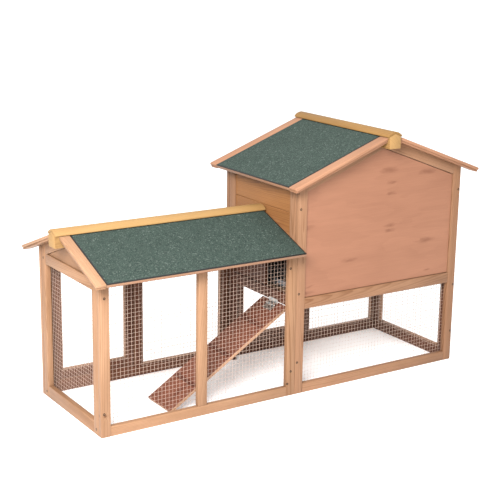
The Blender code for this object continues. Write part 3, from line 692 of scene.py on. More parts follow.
def own(tree, name, output="Fac"):
    """One of the attributes that the piece's points carry."""
    node = put(tree, "Attribute", attribute_name=name, attribute_type="GEOMETRY")
    return Value(tree, node.outputs[output])


def feed(shader, colour, roughness, height, bump):
    """The three results that every finish has: colour, roughness and a relief bump metres high."""
    send(colour, shader.inputs["Base Color"])
    send(roughness, shader.inputs["Roughness"])
    relief = result("Bump", "Normal", {"Height": height, "Distance": bump})
    send(relief, shader.inputs["Normal"])


def figure_of(tree, group, inputs):
    """A group's colour, roughness and height."""
    node = put(tree, "Group", inputs, node_tree=group)
    return [Value(tree, node.outputs[name]) for name in ("Color", "Roughness", "Height")]


def wood_look(name, group, pale, dark, bump, values):
    """A wood finish: a group's colour, roughness and height, with the low gloss of water stain."""
    look, tree, shader = new_look(name)
    inputs = {"Place": own(tree, "wood", "Vector"), "Tone": own(tree, "tone")}
    inputs |= {"Edge": own(tree, "edge"), "Pale": (*pale, 1), "Dark": (*dark, 1)}
    colour, roughness, height = figure_of(tree, group, inputs | values)
    # Painted shade: faces that look into the hutch, wood under the run's roof and the ramp's strips are darkened.
    inside = fade(own(tree, "inside"), 0.0, 1.0)
    shaded_colour = tint(inside, colour, (*INSIDE_SHADE, 1), "MULTIPLY")
    feed(shader, shaded_colour, roughness, height, bump)
    shader.inputs["Specular IOR Level"].default_value = WOOD_GLOSS
    return look


def timber_look(name, pale, dark, ring_width, ring_strength, knots, bump=0.00016):
    """Solid wood, by its two colours, its rings and its share of knots."""
    values = {"Ring width": ring_width, "Ring strength": ring_strength, "Knots": knots}
    return wood_look(name, timber_group, pale, dark, bump, values)


def veneer_look(name, pale, dark, contours, marks, cut_edge, bump=0.00010):
    """Plywood, by its face's two colours, its figure and the colour of its cut sides."""
    values = {"Contours": contours, "Marks": marks, "Cut edge": (*cut_edge, 1)}
    return wood_look(name, veneer_group, pale, dark, bump, values)


run_fir = timber_look("run fir", (0.285, 0.160, 0.090), (0.150, 0.070, 0.030), 0.0034, 0.62, 0.16)
house_fir = timber_look(
    "house fir", (0.235, 0.125, 0.069), (0.125, 0.055, 0.024), 0.0038, 0.6, 0.16)
batten_fir = timber_look(
    "batten fir", (0.275, 0.140, 0.080), (0.16, 0.070, 0.033), 0.0042, 0.5, 0.12)
ridge_pine = timber_look(
    "ridge pine", (0.262, 0.152, 0.056), (0.165, 0.085, 0.027), 0.0046, 0.5, 0.1)
cap_pine = timber_look(
    "house cap pine", (0.205, 0.112, 0.034), (0.130, 0.062, 0.016), 0.0046, 0.5, 0.1)
matchboard = timber_look(
    "matchboard", (0.225, 0.100, 0.035), (0.125, 0.047, 0.015), 0.0044, 0.6, 0.12, 0.00018)
wall_ply = veneer_look(
    "wall plywood", (0.238, 0.110, 0.064), (0.158, 0.067, 0.037), 0.10, 0.24, (0.25, 0.12, 0.08))
gable_ply = veneer_look(
    "run gable plywood", (0.225, 0.120, 0.062), (0.160, 0.075, 0.035), 0.16, 0.1,
    (0.25, 0.14, 0.08))
roof_ply = veneer_look(
    "roof plywood", (0.30, 0.185, 0.11), (0.18, 0.095, 0.05), 0.35, 0.12, (0.25, 0.14, 0.085))
ramp_ply = veneer_look(
    "stained ramp plywood", (0.165, 0.056, 0.032), (0.10, 0.030, 0.017), 0.4, 0.2,
    (0.40, 0.24, 0.15), 0.00014)
print("ten wood finishes")

# %% [markdown]
# ### Roofing felt
#
# Felt is bitumen rolled in crushed slate. The grains are about a millimetre, mostly dark green
# with some lighter and a few nearly white, and their cover is a little uneven. Cells of a Voronoi
# texture give each grain one colour and one height. The cut edge shows black bitumen.

# %% The felt finish
FELT_GLOSS = 0.25
FELT_BUMP = 0.0006
felt, tree, shader = new_look("mineral felt")
place, edge = own(tree, "wood", "Vector"), own(tree, "edge")
grain_distance, grain_chance = cells(place, 700.0)
clump_chance = cells(place, 260.0)[1]
patchy, broad = noise(place, 55.0, 4.0, 0.6), noise(place, 6.0, 3.0, 0.6)
DARK_SLATE, SLATE = (0.0095, 0.0185, 0.0145, 1), (0.027, 0.044, 0.035, 1)
colour = tint(fade(grain_chance[0], 0.1, 0.9), DARK_SLATE, SLATE)
FELT_LAYERS = [
    (fade(grain_chance[1], 0.90, 0.95), (0.085, 0.105, 0.090)),
    (fade(clump_chance[0], 0.955, 0.965) * 0.65, (0.10, 0.12, 0.105)),
    (fade(clump_chance[1], 0.90, 0.93) * 0.5, (0.006, 0.010, 0.009)),
    (fade(patchy, 0.35, 0.72, 0.0, 0.42), (0.033, 0.049, 0.040)),
    (fade(broad, 0.35, 0.7, 0.0, 0.25), (0.014, 0.023, 0.018)),
    (fade(edge, 0.35, 0.75), (0.004, 0.004, 0.004)),
]
for share, over in FELT_LAYERS:
    colour = tint(share, colour, (*over, 1))
dome = (1.0 - grain_distance) * (1.0 - edge)
feed(shader, colour, fade(edge, 0.3, 0.8, 0.93, 0.5), dome, FELT_BUMP)
shader.inputs["Specular IOR Level"].default_value = FELT_GLOSS
print("felt finish with", len(tree.nodes), "nodes")

# %% [markdown]
# ### Metals
#
# Zinc is a soft grey with faint crystal patches and no mirror shine. One group serves the wire,
# the hinges, the tray and the blackened screws, with its own crystal size for each.

# %% Zinc and black screws
zinc_group, given, gives = new_group("Zinc bloom", [
    ("Place", "Vector", (0, 0, 0)),
    ("Crystal size", "Float", 0.01),
    ("Bright", "Color", (0.8, 0.8, 0.8, 1)),
])
crystal = cells(given["Place"], 1.0 / given["Crystal size"])[1][0]
stain = noise(given["Place"], 60.0, 4.0, 0.6)
dulled = times_colour(given["Bright"], 0.72, 0.72, 0.73)
colour = tint(fade(crystal, 0.0, 1.0, 0.0, 0.6), given["Bright"], dulled)
send(tint(fade(stain, 0.45, 0.75, 0.0, 0.35), colour, dulled), gives["Color"])
send(fade(stain, 0.2, 0.8, 0.30, 0.5), gives["Roughness"])
send(stain, gives["Height"])


def metal_look(name, bright, crystal_size, metallic, bump=0.00005):
    """A metal finish, by its brightest colour and the size of its crystals."""
    look, tree, shader = new_look(name)
    place = Value(tree, put(tree, "TexCoord").outputs["Object"])
    inputs = {"Place": place, "Bright": (*bright, 1), "Crystal size": crystal_size}
    feed(shader, *figure_of(tree, zinc_group, inputs), bump)
    shader.inputs["Metallic"].default_value = metallic
    return look


wire_zinc = metal_look("galvanised wire", (0.45, 0.32, 0.25), 0.004, 0.1)
plated = metal_look("zinc-plated steel", (0.48, 0.48, 0.46), 0.003, 1.0)
# Painted shade: the tray's zinc is much darker than the hinges', standing in for the shade inside the house where
# it is seen.
shaded_sheet_zinc = metal_look("galvanised sheet", (0.22, 0.225, 0.235), 0.012, 0.9, 0.00008)
# Partly painted shade: the screw heads are near-black, for the dark steel and for the shade in the countersunk
# holes.
black_steel_hole_shade = metal_look("blackened steel", (0.011, 0.008, 0.007), 0.002, 0.0)
black_steel_hole_shade.node_tree.nodes["Principled BSDF"].inputs["Specular IOR Level"].default_value = 0.08
print("four metal finishes from one group of", len(zinc_group.nodes), "nodes")

# %% [markdown]
# ## The posts and rails of the near wall
#
# The long wall on the near side is made of separate sticks, each a solid of its own, so an outline
# and a grain direction are enough. Uprights are sawn along their height and rails along their
# length. A last number makes some sticks darker than the rest.

# %% Sticks that each have a solid
STICKS = {  # axis of the outline, grain, finish, darker by
    "run_back_left_stile": ("z", "z", run_fir, 0.0),
    "run_back_centre_stile": ("z", "z", run_fir, 0.0),
    "run_back_right_stile": ("z", "z", run_fir, 2.2),
    "run_back_bottom_rail": ("x", "x", run_fir, 0.6),
    "run_back_top_rail": ("x", "x", run_fir, 0.0),
    "house_back_bottom_rail": ("x", "x", house_fir, 0.0),
    "house_back_middle_rail": ("x", "x", house_fir, 2.6),
    "house_back_left_stile": ("y", "z", house_fir, -0.8),
    "house_back_right_stile": ("y", "z", house_fir, 4.0),
}
for node, (axis, grain, look, darker) in STICKS.items():
    stand_for(node, "timber", [whole(node, axis, grain, "y", darker=darker)], look)
print(len(made), "timbers so far")

# %% [markdown]
# A rafter follows the roof and is notched at the top for the ridge beam. Its outline is six
# points: the sloping top, the notch's side and floor, the plumb cut at the middle, and the
# sloping underside.

# %% Rafters
RAFTER = 0.036


def rafter(roof, axis, thickness, side, reach, beam):
    """One rafter of a gable, from its outer end at reach to the plumb cut beside the middle."""
    drop = RAFTER / math.cos(roof.pitch)
    low_side = "y" if axis == "x" else "x"
    notch = np.ptp(span(beam, low_side)) / 2 + GAP
    floor = span(beam, "z")[0] - GAP
    outline = [
        (reach, roof.wall(reach) - drop),
        (reach, roof.wall(reach)),
        (notch, roof.wall(notch)),
        (notch, floor),
        (GAP / 2, floor),
        (GAP / 2, roof.wall(0) - drop),
    ]
    flat = [(roof.middle + side * a, b) for a, b in outline]
    downhill = np.zeros(3)
    downhill[AXES[low_side]], downhill[2] = side * math.cos(roof.pitch), -math.sin(roof.pitch)
    return in_the_log(solid(flat, axis, *thickness), downhill, axis)


house_reach = END_X - STILE - GAP - RIDGE_X
for name, side in (("left", -1), ("right", 1)):
    shape = rafter(house_roof, "y", BACK_Y, side, house_reach, "house_ridge_beam")
    stand_for(f"house_back_{name}_rafter", "timber", [shape], house_fir)
print("rafters meet the beam", round(span("house_ridge_beam", "z")[0], 4), "above the ground")

# %% [markdown]
# ## The framed panels
#
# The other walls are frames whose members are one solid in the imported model. Here every member
# is its own stick again, with a hairline joint and its own piece of the tree. The mesh sheets
# lap a known distance over the timber, so each opening is the mesh's box less that lap.

# %% Openings behind each mesh sheet
LAP = 0.012
RAIL = 0.036
DOOR_FRAME = 0.032


def opening(mesh_node, across):
    """The clear opening that a mesh sheet covers, as its range across and its range in height."""
    low, high = span(mesh_node, across)
    bottom, top = span(mesh_node, "z")
    return (low + LAP, high - LAP), (bottom + LAP, top - LAP)


def upright(roof, axis, thickness, a, b, middle):
    """An upright whose top follows the roof: higher at the end that is nearer the ridge."""
    tops = [roof.wall(abs(edge - middle)) for edge in (a, b)]
    outline = [(a, 0), (b, 0), (b, tops[1]), (a, tops[0])]
    return in_the_log(solid(outline, axis, *thickness), "z", axis)


def within_gaps(ends):
    """The length of a member that fits between two others, with a hairline joint at each end."""
    return ends[0] + GAP, ends[1] - GAP


def framed(axis, thickness, a, b, grain):
    """A straight member of a panel: its range across, its range in height, and its grain."""
    if axis == "x":
        return timber(thickness, a, b, grain)
    return timber(a, thickness, b, grain)


# Painted shade: the run's end frame is made darker than the near side by this much tone, as its faces get less
# light.
END_SHADE_TONE = 1.3
INNER_Y = span("run_end_frame", "y")
run_end_x = span("run_end_frame", "x")
bay_y, bay_z = opening("run_end_mesh", "y")
gable_foot = bay_z[1] + np.ptp(span("run_back_top_rail", "z"))
rail_y = within_gaps(bay_y)
shapes = [
    upright(run_roof, "x", run_end_x, INNER_Y[0], bay_y[0], 0),
    upright(run_roof, "x", run_end_x, bay_y[1], INNER_Y[1], 0),
    framed("x", run_end_x, rail_y, (0, bay_z[0]), "y"),
    framed("x", run_end_x, rail_y, (bay_z[1], gable_foot), "y"),
]
shapes += [
    rafter(run_roof, "x", run_end_x, side, bay_y[1] - GAP, "run_ridge_beam") for side in (-1, 1)
]
# Painted shade: the end's inner faces are darkened, and the whole end a little more.
shapes = darker_by(shade_inward_faces(shapes, "x", run_end_x[1]), END_SHADE_TONE)
stand_for("run_end_frame", "timbers", shapes, run_fir)
print("run's end:", len(shapes), "members")

# %% The run's front with its door
front_left, front_right = span("run_front_frame", "x")
front_top = span("run_front_frame", "z")[1]
front_bay_x, front_bay_z = opening("run_front_mesh", "x")
door_x, door_z = span("run_door_frame", "x"), span("run_door_frame", "z")
DOOR_GAP = door_z[0] - front_bay_z[0]
post_left = door_x[1] + DOOR_GAP
between = within_gaps((front_left + STILE, front_right - STILE))
shapes = [
    framed("y", FRONT_Y, (front_left, front_left + STILE), (0, front_top), "z"),
    framed("y", FRONT_Y, (front_right - STILE, front_right), (0, front_top), "z"),
    framed("y", FRONT_Y, between, (0, front_bay_z[0]), "x"),
    framed("y", FRONT_Y, between, (front_bay_z[1], front_top), "x"),
    framed("y", FRONT_Y, (post_left, front_bay_x[0]), within_gaps(front_bay_z), "z"),
]
# Painted shade on the faces that look into the run.
stand_for("run_front_frame", "timbers", shade_inward_faces(shapes, "y", FRONT_Y[0]), run_fir)


def door_members(x, z, width):
    """Two stiles the height of the door and two rails between them."""
    left, right = x[0] + width, x[1] - width
    rail = within_gaps((left, right))
    return [
        framed("y", FRONT_Y, (x[0], left), z, "z"),
        framed("y", FRONT_Y, (right, x[1]), z, "z"),
        framed("y", FRONT_Y, rail, (z[0], z[0] + width), "x"),
        framed("y", FRONT_Y, rail, (z[1] - width, z[1]), "x"),
    ]


door_width = span("run_door_mesh", "x")[0] + LAP - door_x[0]
# Painted shade on the door's faces that look into the run.
shapes = shade_inward_faces(door_members(door_x, door_z, door_width), "y", FRONT_Y[0])
stand_for("run_door_frame", "timbers", shapes, run_fir)
print(f"door members {door_width * 1000:.0f} mm wide")

# %% The house's three framed walls
UNDER_COVER = run_roof.wall(INNER_Y[1])
eave_top = span("house_left_frame", "z")[1]
low_y, low_z = opening("house_right_mesh", "y")
middle_z = (low_z[1], low_z[1] + RAIL)
rail_y = within_gaps(low_y)
for node in ("house_left_frame", "house_right_frame"):
    x = span(node, "x")
    shapes = [
        framed("x", x, (INNER_Y[0], low_y[0]), (0, eave_top), "z"),
        framed("x", x, (low_y[1], INNER_Y[1]), (0, eave_top), "z"),
        framed("x", x, rail_y, middle_z, "y"),
    ]
    if node == "house_right_frame":
        shapes.append(framed("x", x, rail_y, (0, low_z[0]), "y"))
        # Painted shade on the faces that look into the house.
        shapes = shade_inward_faces(shapes, "x", x[0])
    else:
        # Painted shade on the wood below the run's roof.
        shapes = shade_under_roof(shapes, UNDER_COVER)
    stand_for(node, "timbers", shapes, house_fir)
inner_x = (HOUSE_X + STILE, END_X - STILE)
rail_x = within_gaps(inner_x)
house_door_x, house_door_z = span("house_door", "x"), span("house_door", "z")
head_z = (house_door_z[1] + DOOR_GAP, span("house_front_gable", "z")[0] - GAP)
shapes = [
    upright(house_roof, "y", FRONT_Y, HOUSE_X, inner_x[0], RIDGE_X),
    upright(house_roof, "y", FRONT_Y, inner_x[1], END_X, RIDGE_X),
]
shapes += [framed("y", FRONT_Y, rail_x, z, "x") for z in ((0, low_z[0]), middle_z, head_z)]
shapes += [
    rafter(house_roof, "y", FRONT_Y, side, house_reach, "house_ridge_beam") for side in (-1, 1)
]
centre_x = (RIDGE_X - STILE / 2, RIDGE_X + STILE / 2)
shapes.append(framed("y", FRONT_Y, centre_x, within_gaps(low_z), "z"))
panel_x = within_gaps((inner_x[0], centre_x[0]))
shapes += door_members(panel_x, within_gaps(low_z), DOOR_FRAME)
# Painted shade on the faces that look into the house.
stand_for("house_front_frame", "timbers", shade_inward_faces(shapes, "y", FRONT_Y[0]), house_fir)
print("house front:", len(shapes), "members")

# %% [markdown]
# ## Walls of board and plywood
#
# Plywood drops into its frame five millimetres behind the face, with a thin dark line of shadow
# all round it. The outlines come from the solids. A sheet keeps sharp edges, so its easing is
# small, and its edge attribute marks only the cut sides.

# %% Plywood sheets
SHEET_EASE = 0.0003


def sheet_of(outline, axis, low, high, grain):
    """A sheet with its cut sides marked, so that the veneer's finish shows layers there."""
    rings = [(SHEET_EASE, low), (0, low + SHEET_EASE), (0, high - SHEET_EASE), (SHEET_EASE, high)]
    shape = loft(outline, axis, rings, (0, 1, 1, 0), SHEET_EASE)
    around = len(shape["points"]) // len(rings)
    shape["edge"] = np.repeat([0.0, 1.0, 1.0, 0.0], around)
    return in_the_log(shape, grain, axis, near=0.0, far=0.4, tilt=0.02)


PLY_SHEETS = {
    "house_back_panel": ("y", "x", wall_ply),
    "house_front_gable": ("y", "x", wall_ply),
    "run_end_gable": ("x", "y", gable_ply),
    "house_floor": ("z", "x", roof_ply),
}
SHEET_CLEARANCE = {"house_back_panel": 0.0010}
for node, (axis, grain, look) in PLY_SHEETS.items():
    outline = section(node, axis)
    outline = inset(outline, math.copysign(SHEET_CLEARANCE.get(node, 0.0), area_of(outline)))
    stand_for(node, "sheet", [sheet_of(outline, axis, *span(node, axis), grain)], look)
print(len(PLY_SHEETS), "plywood sheets")

# %% [markdown]
# Matchboards run level, each with a bevel along its long edges, so that every joint is a shallow
# V. On the run's side a doorway is cut through the lower boards. A board's outline is then an L
# shape or starts further along, and the same outline function takes care of both.

# %% Matchboards
BOARD_STEP = 0.0913
BEVEL = 0.0016
NARROWEST = 0.02
board_x, board_y = span("house_left_boards", "x"), span("house_left_boards", "y")
wall_foot, wall_top = span("house_left_boards", "z")
corner = points_of("house_left_boards")
from_end = np.minimum(abs(corner[:, 1] - board_y[0]), abs(corner[:, 1] - board_y[1]))
hole_points = corner[from_end > NARROWEST]
hole_side, hole_top = float(hole_points[:, 1].min()), float(hole_points[:, 2].max())


def board_outline(low, high, side=None, top=None):
    """A board's face, with a corner taken out where a doorway reaches into it."""
    start, end = board_y
    if side is None or top <= low:
        return rectangle((start, end), (low, high))
    if top >= high:
        return rectangle((side, end), (low, high))
    return [(side, low), (end, low), (end, high), (start, high), (start, top), (side, top)]


def boarded_wall(x, side=None, top=None):
    """Boards from the sill to the eaves, each bevelled all round."""
    shapes = []
    joints = np.append(np.arange(wall_foot, wall_top - NARROWEST, BOARD_STEP), wall_top)
    for low, high in zip(joints[:-1], joints[1:]):
        outline = board_outline(low + GAP / 2, high - GAP / 2, side, top)
        shapes.append(in_the_log(solid(outline, "x", *x, BEVEL, steps=1), "y", "x"))
    return shapes


# Painted shade on the boards below the run's roof.
shapes = shade_under_roof(boarded_wall(board_x, hole_side, hole_top), UNDER_COVER)
stand_for("house_left_boards", "matchboards", shapes, matchboard)
shapes = boarded_wall(span("house_right_boards", "x"))
stand_for("house_right_boards", "matchboards", shapes, matchboard)
print(f"doorway {hole_side - board_y[0]:.3f} wide and {hole_top - wall_foot:.3f} high")

# %% [markdown]
# The house door is a frame round a thin panel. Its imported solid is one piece, so the frame's four
# members and the panel are built together and take its place.

# %% The house door
PANEL_Y = (FRONT_Y[1] - 0.011, FRONT_Y[1] - 0.005)
PANEL_LAP = 0.002
shapes = door_members(house_door_x, house_door_z, DOOR_FRAME)
reach_in = DOOR_FRAME - PANEL_LAP
field = inset(np.array(rectangle(house_door_x, house_door_z), float), reach_in)
panel = sheet_of(field, "y", *PANEL_Y, "x")
panel["look"] = 1
stand_for("house_door", "leaf", shapes + [panel], [house_fir, wall_ply])
print("door leaf with", len(shapes), "members and a panel")

# %% [markdown]
# ## The roofs
#
# Each slope is a thin board under felt, with a batten down each gable edge. The boards show
# only their pale edge at the eaves. A batten is a moulding of two strips, the lower one darker
# and set back a little.

# %% Roof boards and battens
ROOF_AXES = {"run": "x", "house": "y"}
UPPER_STRIP = 0.58
SET_BACK = 0.0026
LOWER_DARKER = 2.2
MOULDED_EASE = 0.0022


def slope_way(node, axis):
    """The direction down or up a slope, from the longest edge of its outline."""
    direction = np.zeros(3)
    direction[across_of(axis)] = longest_edge(section(node, axis))
    return direction


def moulded_batten(node, axis):
    """A planed moulding as two strips: the four-cornered outline is cut along its length, at a
    share of its depth, and the lower strip is set back from the outer face."""
    corner = section(node, axis)
    length = np.linalg.norm(np.roll(corner, -1, axis=0) - corner, axis=1)
    a, b, c, d = np.roll(corner, -int(np.argmax(length)), axis=0)
    if a[1] + b[1] < c[1] + d[1]:
        a, b, c, d = c, d, a, b
    cut = [b + UPPER_STRIP * (c - b), a + UPPER_STRIP * (d - a)]
    low, high = span(node, axis)
    far_end = axis == "y" and low + high > 0
    lower = (low, high - SET_BACK) if far_end else (low + SET_BACK, high)
    return [
        solid([a, b, *cut], axis, low, high, MOULDED_EASE),
        solid([*cut[::-1], c, d], axis, *lower, MOULDED_EASE),
    ]


for node in [name for name in frame["nodes"] if "_roof_" in name]:
    axis = ROOF_AXES[node.split("_")[0]]
    slope = slope_way(node, axis)
    if node.endswith("_board"):
        normal = np.cross(heading(axis), slope)
        shape = solid(section(node, axis), axis, *span(node, axis), SHEET_EASE)
        shape["edge"] = np.ones(len(shape["points"]))
        shape = in_the_log(shape, slope, normal, near=0, far=0.3, tilt=0.01)
        stand_for(node, "sheet", [shape], roof_ply)
    elif node.endswith("_batten"):
        look = batten_fir if node.startswith("house") else run_fir
        shapes = [in_the_log(shape, slope, axis) for shape in moulded_batten(node, axis)]
        darker_by(shapes[1:], LOWER_DARKER)
        stand_for(node, "timber", shapes, look)
print(sum("_roof_" in name for name in made), "roof boards and battens")

# %% [markdown]
# Felt never lies quite flat: it follows the nails and creeps a little in the sun. The sheet is a
# grid whose height is the sum of a few long waves, under half a millimetre high, that die away
# towards the edges. Two extra rows close to the border carry the bitumen's black edge.

# %% Felt sheets
FELT_ROWS = 64
FELT_RIM = 0.0032
FELT_MARGIN = 0.006
WAVES = (9.0, 16.0, 27.0, 41.0)
WAVE_HEIGHT = 0.00035
WAVE_FADE = 0.03
RIM_DROP = 0.0006


def stations(length, count):
    """Values from 0 to a length: evenly spaced ones, and two close to each end for the rim."""
    even = np.linspace(FELT_MARGIN, length - FELT_MARGIN, count)
    return np.concatenate([[0, FELT_RIM], even, [length - FELT_RIM, length]])


def felt_sheet(node, axis):
    """A closed sheet: point = corner + u along the ridge + v down the slope + height along the
    normal. Height is the sum of sines of u and v with seeded phases, times a fade to the rim."""
    outline = section(node, axis)
    after = np.roll(outline, -1, axis=0)
    heights = outline[:, 1] + after[:, 1]
    longest = np.argsort(-np.linalg.norm(after - outline, axis=1))[:2]
    upper, lower = max(longest, key=heights.item), min(longest, key=heights.item)
    top, low = sorted((outline[upper], after[upper]), key=lambda end: -end[1])
    width = np.linalg.norm(low - top)
    down = (low - top) / width
    normal = np.array([-down[1], down[0]])
    normal *= np.sign(normal[1])
    thick = abs((outline[lower] - top) @ normal)
    start, end = span(node, axis)
    length = end - start
    u, v = stations(length, FELT_ROWS), stations(width, FELT_ROWS // 2)
    uu, vv = np.meshgrid(u, v, indexing="ij")
    height = np.zeros_like(uu)
    for wave in WAVES:
        turn, phase = luck.uniform(0, math.pi), luck.uniform(0, 2 * math.pi)
        height += np.sin(wave * (uu * math.cos(turn) + vv * math.sin(turn)) + phase) / len(WAVES)
    rim = np.minimum(np.minimum(uu, length - uu), np.minimum(vv, width - vv))
    lift = WAVE_HEIGHT * height * np.clip(rim / WAVE_FADE, 0, 1)
    lift -= RIM_DROP * np.clip(1 - rim / FELT_RIM, 0, 1)
    edge = (rim < FELT_RIM * 1.01).astype(float)

    def at(level):
        points = np.empty(uu.shape + (3,))
        points[..., AXES[axis]] = start + uu
        points[..., across_of(axis)] = top + vv[..., None] * down + level[..., None] * normal
        return points.reshape(-1, 3)

    index = np.arange(uu.size).reshape(uu.shape)
    corners = [index[:-1, :-1], index[1:, :-1], index[1:, 1:], index[:-1, 1:]]
    quads = np.stack(corners, -1).reshape(-1, 4)
    border = np.concatenate([index[:-1, 0], index[-1, :-1], index[:0:-1, -1], index[0, :0:-1]])
    after = np.roll(border, -1)
    sides = np.stack([after, border, border + uu.size, after + uu.size], -1)
    shape = {"points": np.concatenate([at(lift), at(np.full_like(uu, -thick))])}
    shape["faces"] = [quads, quads[:, ::-1] + uu.size, sides]
    a, b, c = shape["points"][quads[0, :3]]
    if np.cross(b - a, c - a)[2] < 0:
        shape["faces"] = [face[:, ::-1] for face in shape["faces"]]
    shape["edge"] = np.concatenate([edge.reshape(-1), np.ones(uu.size)])
    shape["wood"] = shape["points"].copy()
    return shape


for node in [name for name in frame["nodes"] if name.endswith("_felt")]:
    stand_for(node, "sheet", [felt_sheet(node, ROOF_AXES[node.split("_")[0]])], felt)
print("four felt sheets, waves up to", WAVE_HEIGHT * 1000, "mm")

# %% [markdown]
# The ridge is a squared beam that runs out past the gables, under a thin rounded cover strip. The
# beam's end is a five-sided outline. The strip's top is an arc: the circle through both edges and
# the crown has the radius (half width squared + rise squared) / (2 rise).

# %% Ridge beams and cover strips
CAP_EDGE = 0.004
CAP_HOLLOW = 0.002
CAP_STEPS = 12
# Painted light and shade: the beam's end faces take a paler tone and its sides a darker one, as the cover strip
# shades the sides.
LIT_END_TONE, SHADED_SIDE_TONE = -1.5, 3.5


def cap_shape(node, axis, slope):
    """The cover strip: an arc on top, and a hollow below that follows both slopes."""
    side = "y" if axis == "x" else "x"
    low, high = span(node, side)
    half, middle = (high - low) / 2, (high + low) / 2
    bottom, top = span(node, "z")
    rise = top - bottom - CAP_EDGE
    radius = (half**2 + rise**2) / (2 * rise)
    angle = np.linspace(1, -1, CAP_STEPS + 1) * math.asin(half / radius)
    arc = np.stack([radius * np.sin(angle), top - radius * (1 - np.cos(angle))], 1)
    under = [(-half, bottom), (0, bottom + slope * half + CAP_HOLLOW), (half, bottom)]
    outline = np.concatenate([arc, under]) + (middle, 0)
    rings, edge = ease_rings(*span(node, axis), EASE)
    shape = loft(outline, axis, rings, edge, WORN_CORNER * EASE)
    shape["edge"] = np.repeat(edge, len(shape["points"]) // len(rings))
    return in_the_log(shape, axis, "z")


RIDGES = {"run": ("x", run_roof, ridge_pine), "house": ("y", house_roof, cap_pine)}
for name, (axis, roof, look) in RIDGES.items():
    beam, cap = f"{name}_ridge_beam", f"{name}_ridge_cap"
    shape = whole(beam, axis, axis, "z")
    on_end = abs(shape["points"][:, AXES[axis]] - span(beam, axis)[0]) < GAP / 2
    # Painted light on the end face, painted shade on the sides.
    shape["tone"] = np.where(on_end, LIT_END_TONE, SHADED_SIDE_TONE)
    stand_for(beam, "timber", [shape], ridge_pine)
    stand_for(cap, "strip", [cap_shape(cap, axis, roof.slope)], look)
print("two ridges")

# %% [markdown]
# ## Welded wire
#
# Half-inch mesh is straight wires in two layers, welded where they cross. Each wire is a low-sided
# tube that wanders by a fraction of its own thickness. All the wires that run one way are worked
# out as one array: wires by stations by points round the tube.

# %% Mesh sheets
PITCH = 0.0127
WIRE = 0.0008
WIRE_DRIFT = WIRE / 12
TRIM = 0.005
SIDES = 6


def wires(starts, direction, length):
    """Parallel tubes. Centre = start + station along the direction + a small seeded drift, and
    the skin = centre + radius (cos a * one side + sin a * the other side)."""
    stations = int(length / (2 * PITCH)) + 2
    along = np.linspace(0, length, stations)
    direction = np.asarray(direction, float)
    helper = np.array([0.0, 0.0, 1.0]) if abs(direction[2]) < 0.5 else np.array([1.0, 0.0, 0.0])
    one = np.cross(direction, helper)
    other = np.cross(direction, one)
    centre = starts[:, None] + along[None, :, None] * direction
    centre = centre + WIRE_DRIFT * luck.normal(0, 1, centre.shape) * (1 - abs(direction))
    angle = np.linspace(0, 2 * math.pi, SIDES, endpoint=False)
    skin = WIRE / 2 * (np.cos(angle)[:, None] * one + np.sin(angle)[:, None] * other)
    return [closed_tube(wire) for wire in centre[:, :, None] + skin]


def mesh_panel(node, normal, inwards):
    """Upright wires against the timber and level wires behind them."""
    across = "x" if normal == "y" else "y"
    low, high = np.add(span(node, across), (TRIM, -TRIM))
    bottom, top = np.add(span(node, "z"), (TRIM, -TRIM))
    face = span(node, normal)[0 if inwards > 0 else 1]

    def at(a, depth, z):
        point = np.empty(a.shape + (3,))
        point[..., AXES[across]] = a
        point[..., AXES[normal]] = face + inwards * depth
        point[..., 2] = z
        return point

    columns = np.arange(low + (high - low) % PITCH / 2, high, PITCH)
    rows = np.arange(bottom + (top - bottom) % PITCH / 2, top, PITCH)
    feet = at(columns, WIRE / 2, np.full_like(columns, bottom))
    sides = at(np.full_like(rows, low), WIRE * 1.45, rows)
    standing = wires(feet, DIRECTIONS["z"], top - bottom)
    return standing + wires(sides, DIRECTIONS[across], high - low)


MESHES = {
    "run_back_mesh": ("y", 1),
    "house_back_mesh": ("y", 1),
    "run_front_mesh": ("y", -1),
    "run_door_mesh": ("y", -1),
    "house_front_mesh": ("y", -1),
    "run_end_mesh": ("x", 1),
    "house_right_mesh": ("x", -1),
}
for node, (normal, inwards) in MESHES.items():
    stand_for(node, "wires", mesh_panel(node, normal, inwards), wire_zinc, math.radians(70))
print("wire sheets have", sum(made[name] for name in made if name.endswith("_wires")), "faces")

# %% [markdown]
# ## Screws
#
# The sticks are held by blackened countersunk screws, sunk to the face; their near-black heads also
# stand for painted shade in the sunk holes. A head is a shallow dish with a cross-shaped recess:
# rings whose radius swells and shrinks four times round. They sit near the ends of each upright,
# in line with the rails behind them.

# %% Screw heads
HEAD = 0.0040
HEAD_SIDES = 16


def screw(place, outwards):
    """A head turned about its own axis. Ring radius times (1 + cos 4a) makes the recess a cross."""
    out = np.asarray(DIRECTIONS[outwards[-1]], float) * (-1 if outwards[0] == "-" else 1)
    one = np.roll(out, 1)
    other = np.cross(out, one)
    angle = np.linspace(0, 2 * math.pi, HEAD_SIDES, endpoint=False) + luck.uniform(0, 1.5)
    plain = np.ones(HEAD_SIDES)
    cross = 0.42 + 0.58 * np.tile([1, 0.45, 0.15, 0.45], HEAD_SIDES // 4)
    profile = [
        (HEAD * plain, -0.0008), (HEAD * plain, 0.00010), (0.93 * HEAD * plain, 0.00022),
        (0.62 * HEAD * cross, 0.00020), (0.50 * HEAD * cross, -0.0004),
    ]
    rings = []
    for radius, height in profile:
        spoke = np.cos(angle)[:, None] * one + np.sin(angle)[:, None] * other
        rings.append(np.asarray(place) + radius[:, None] * spoke + height * out)
    return closed_tube(np.array(rings))


def screws(name, places, outwards):
    """One piece for all the screw heads of a wall."""
    add_piece(name, [screw(place, outwards) for place in places], black_steel_hole_shade, "hutch")


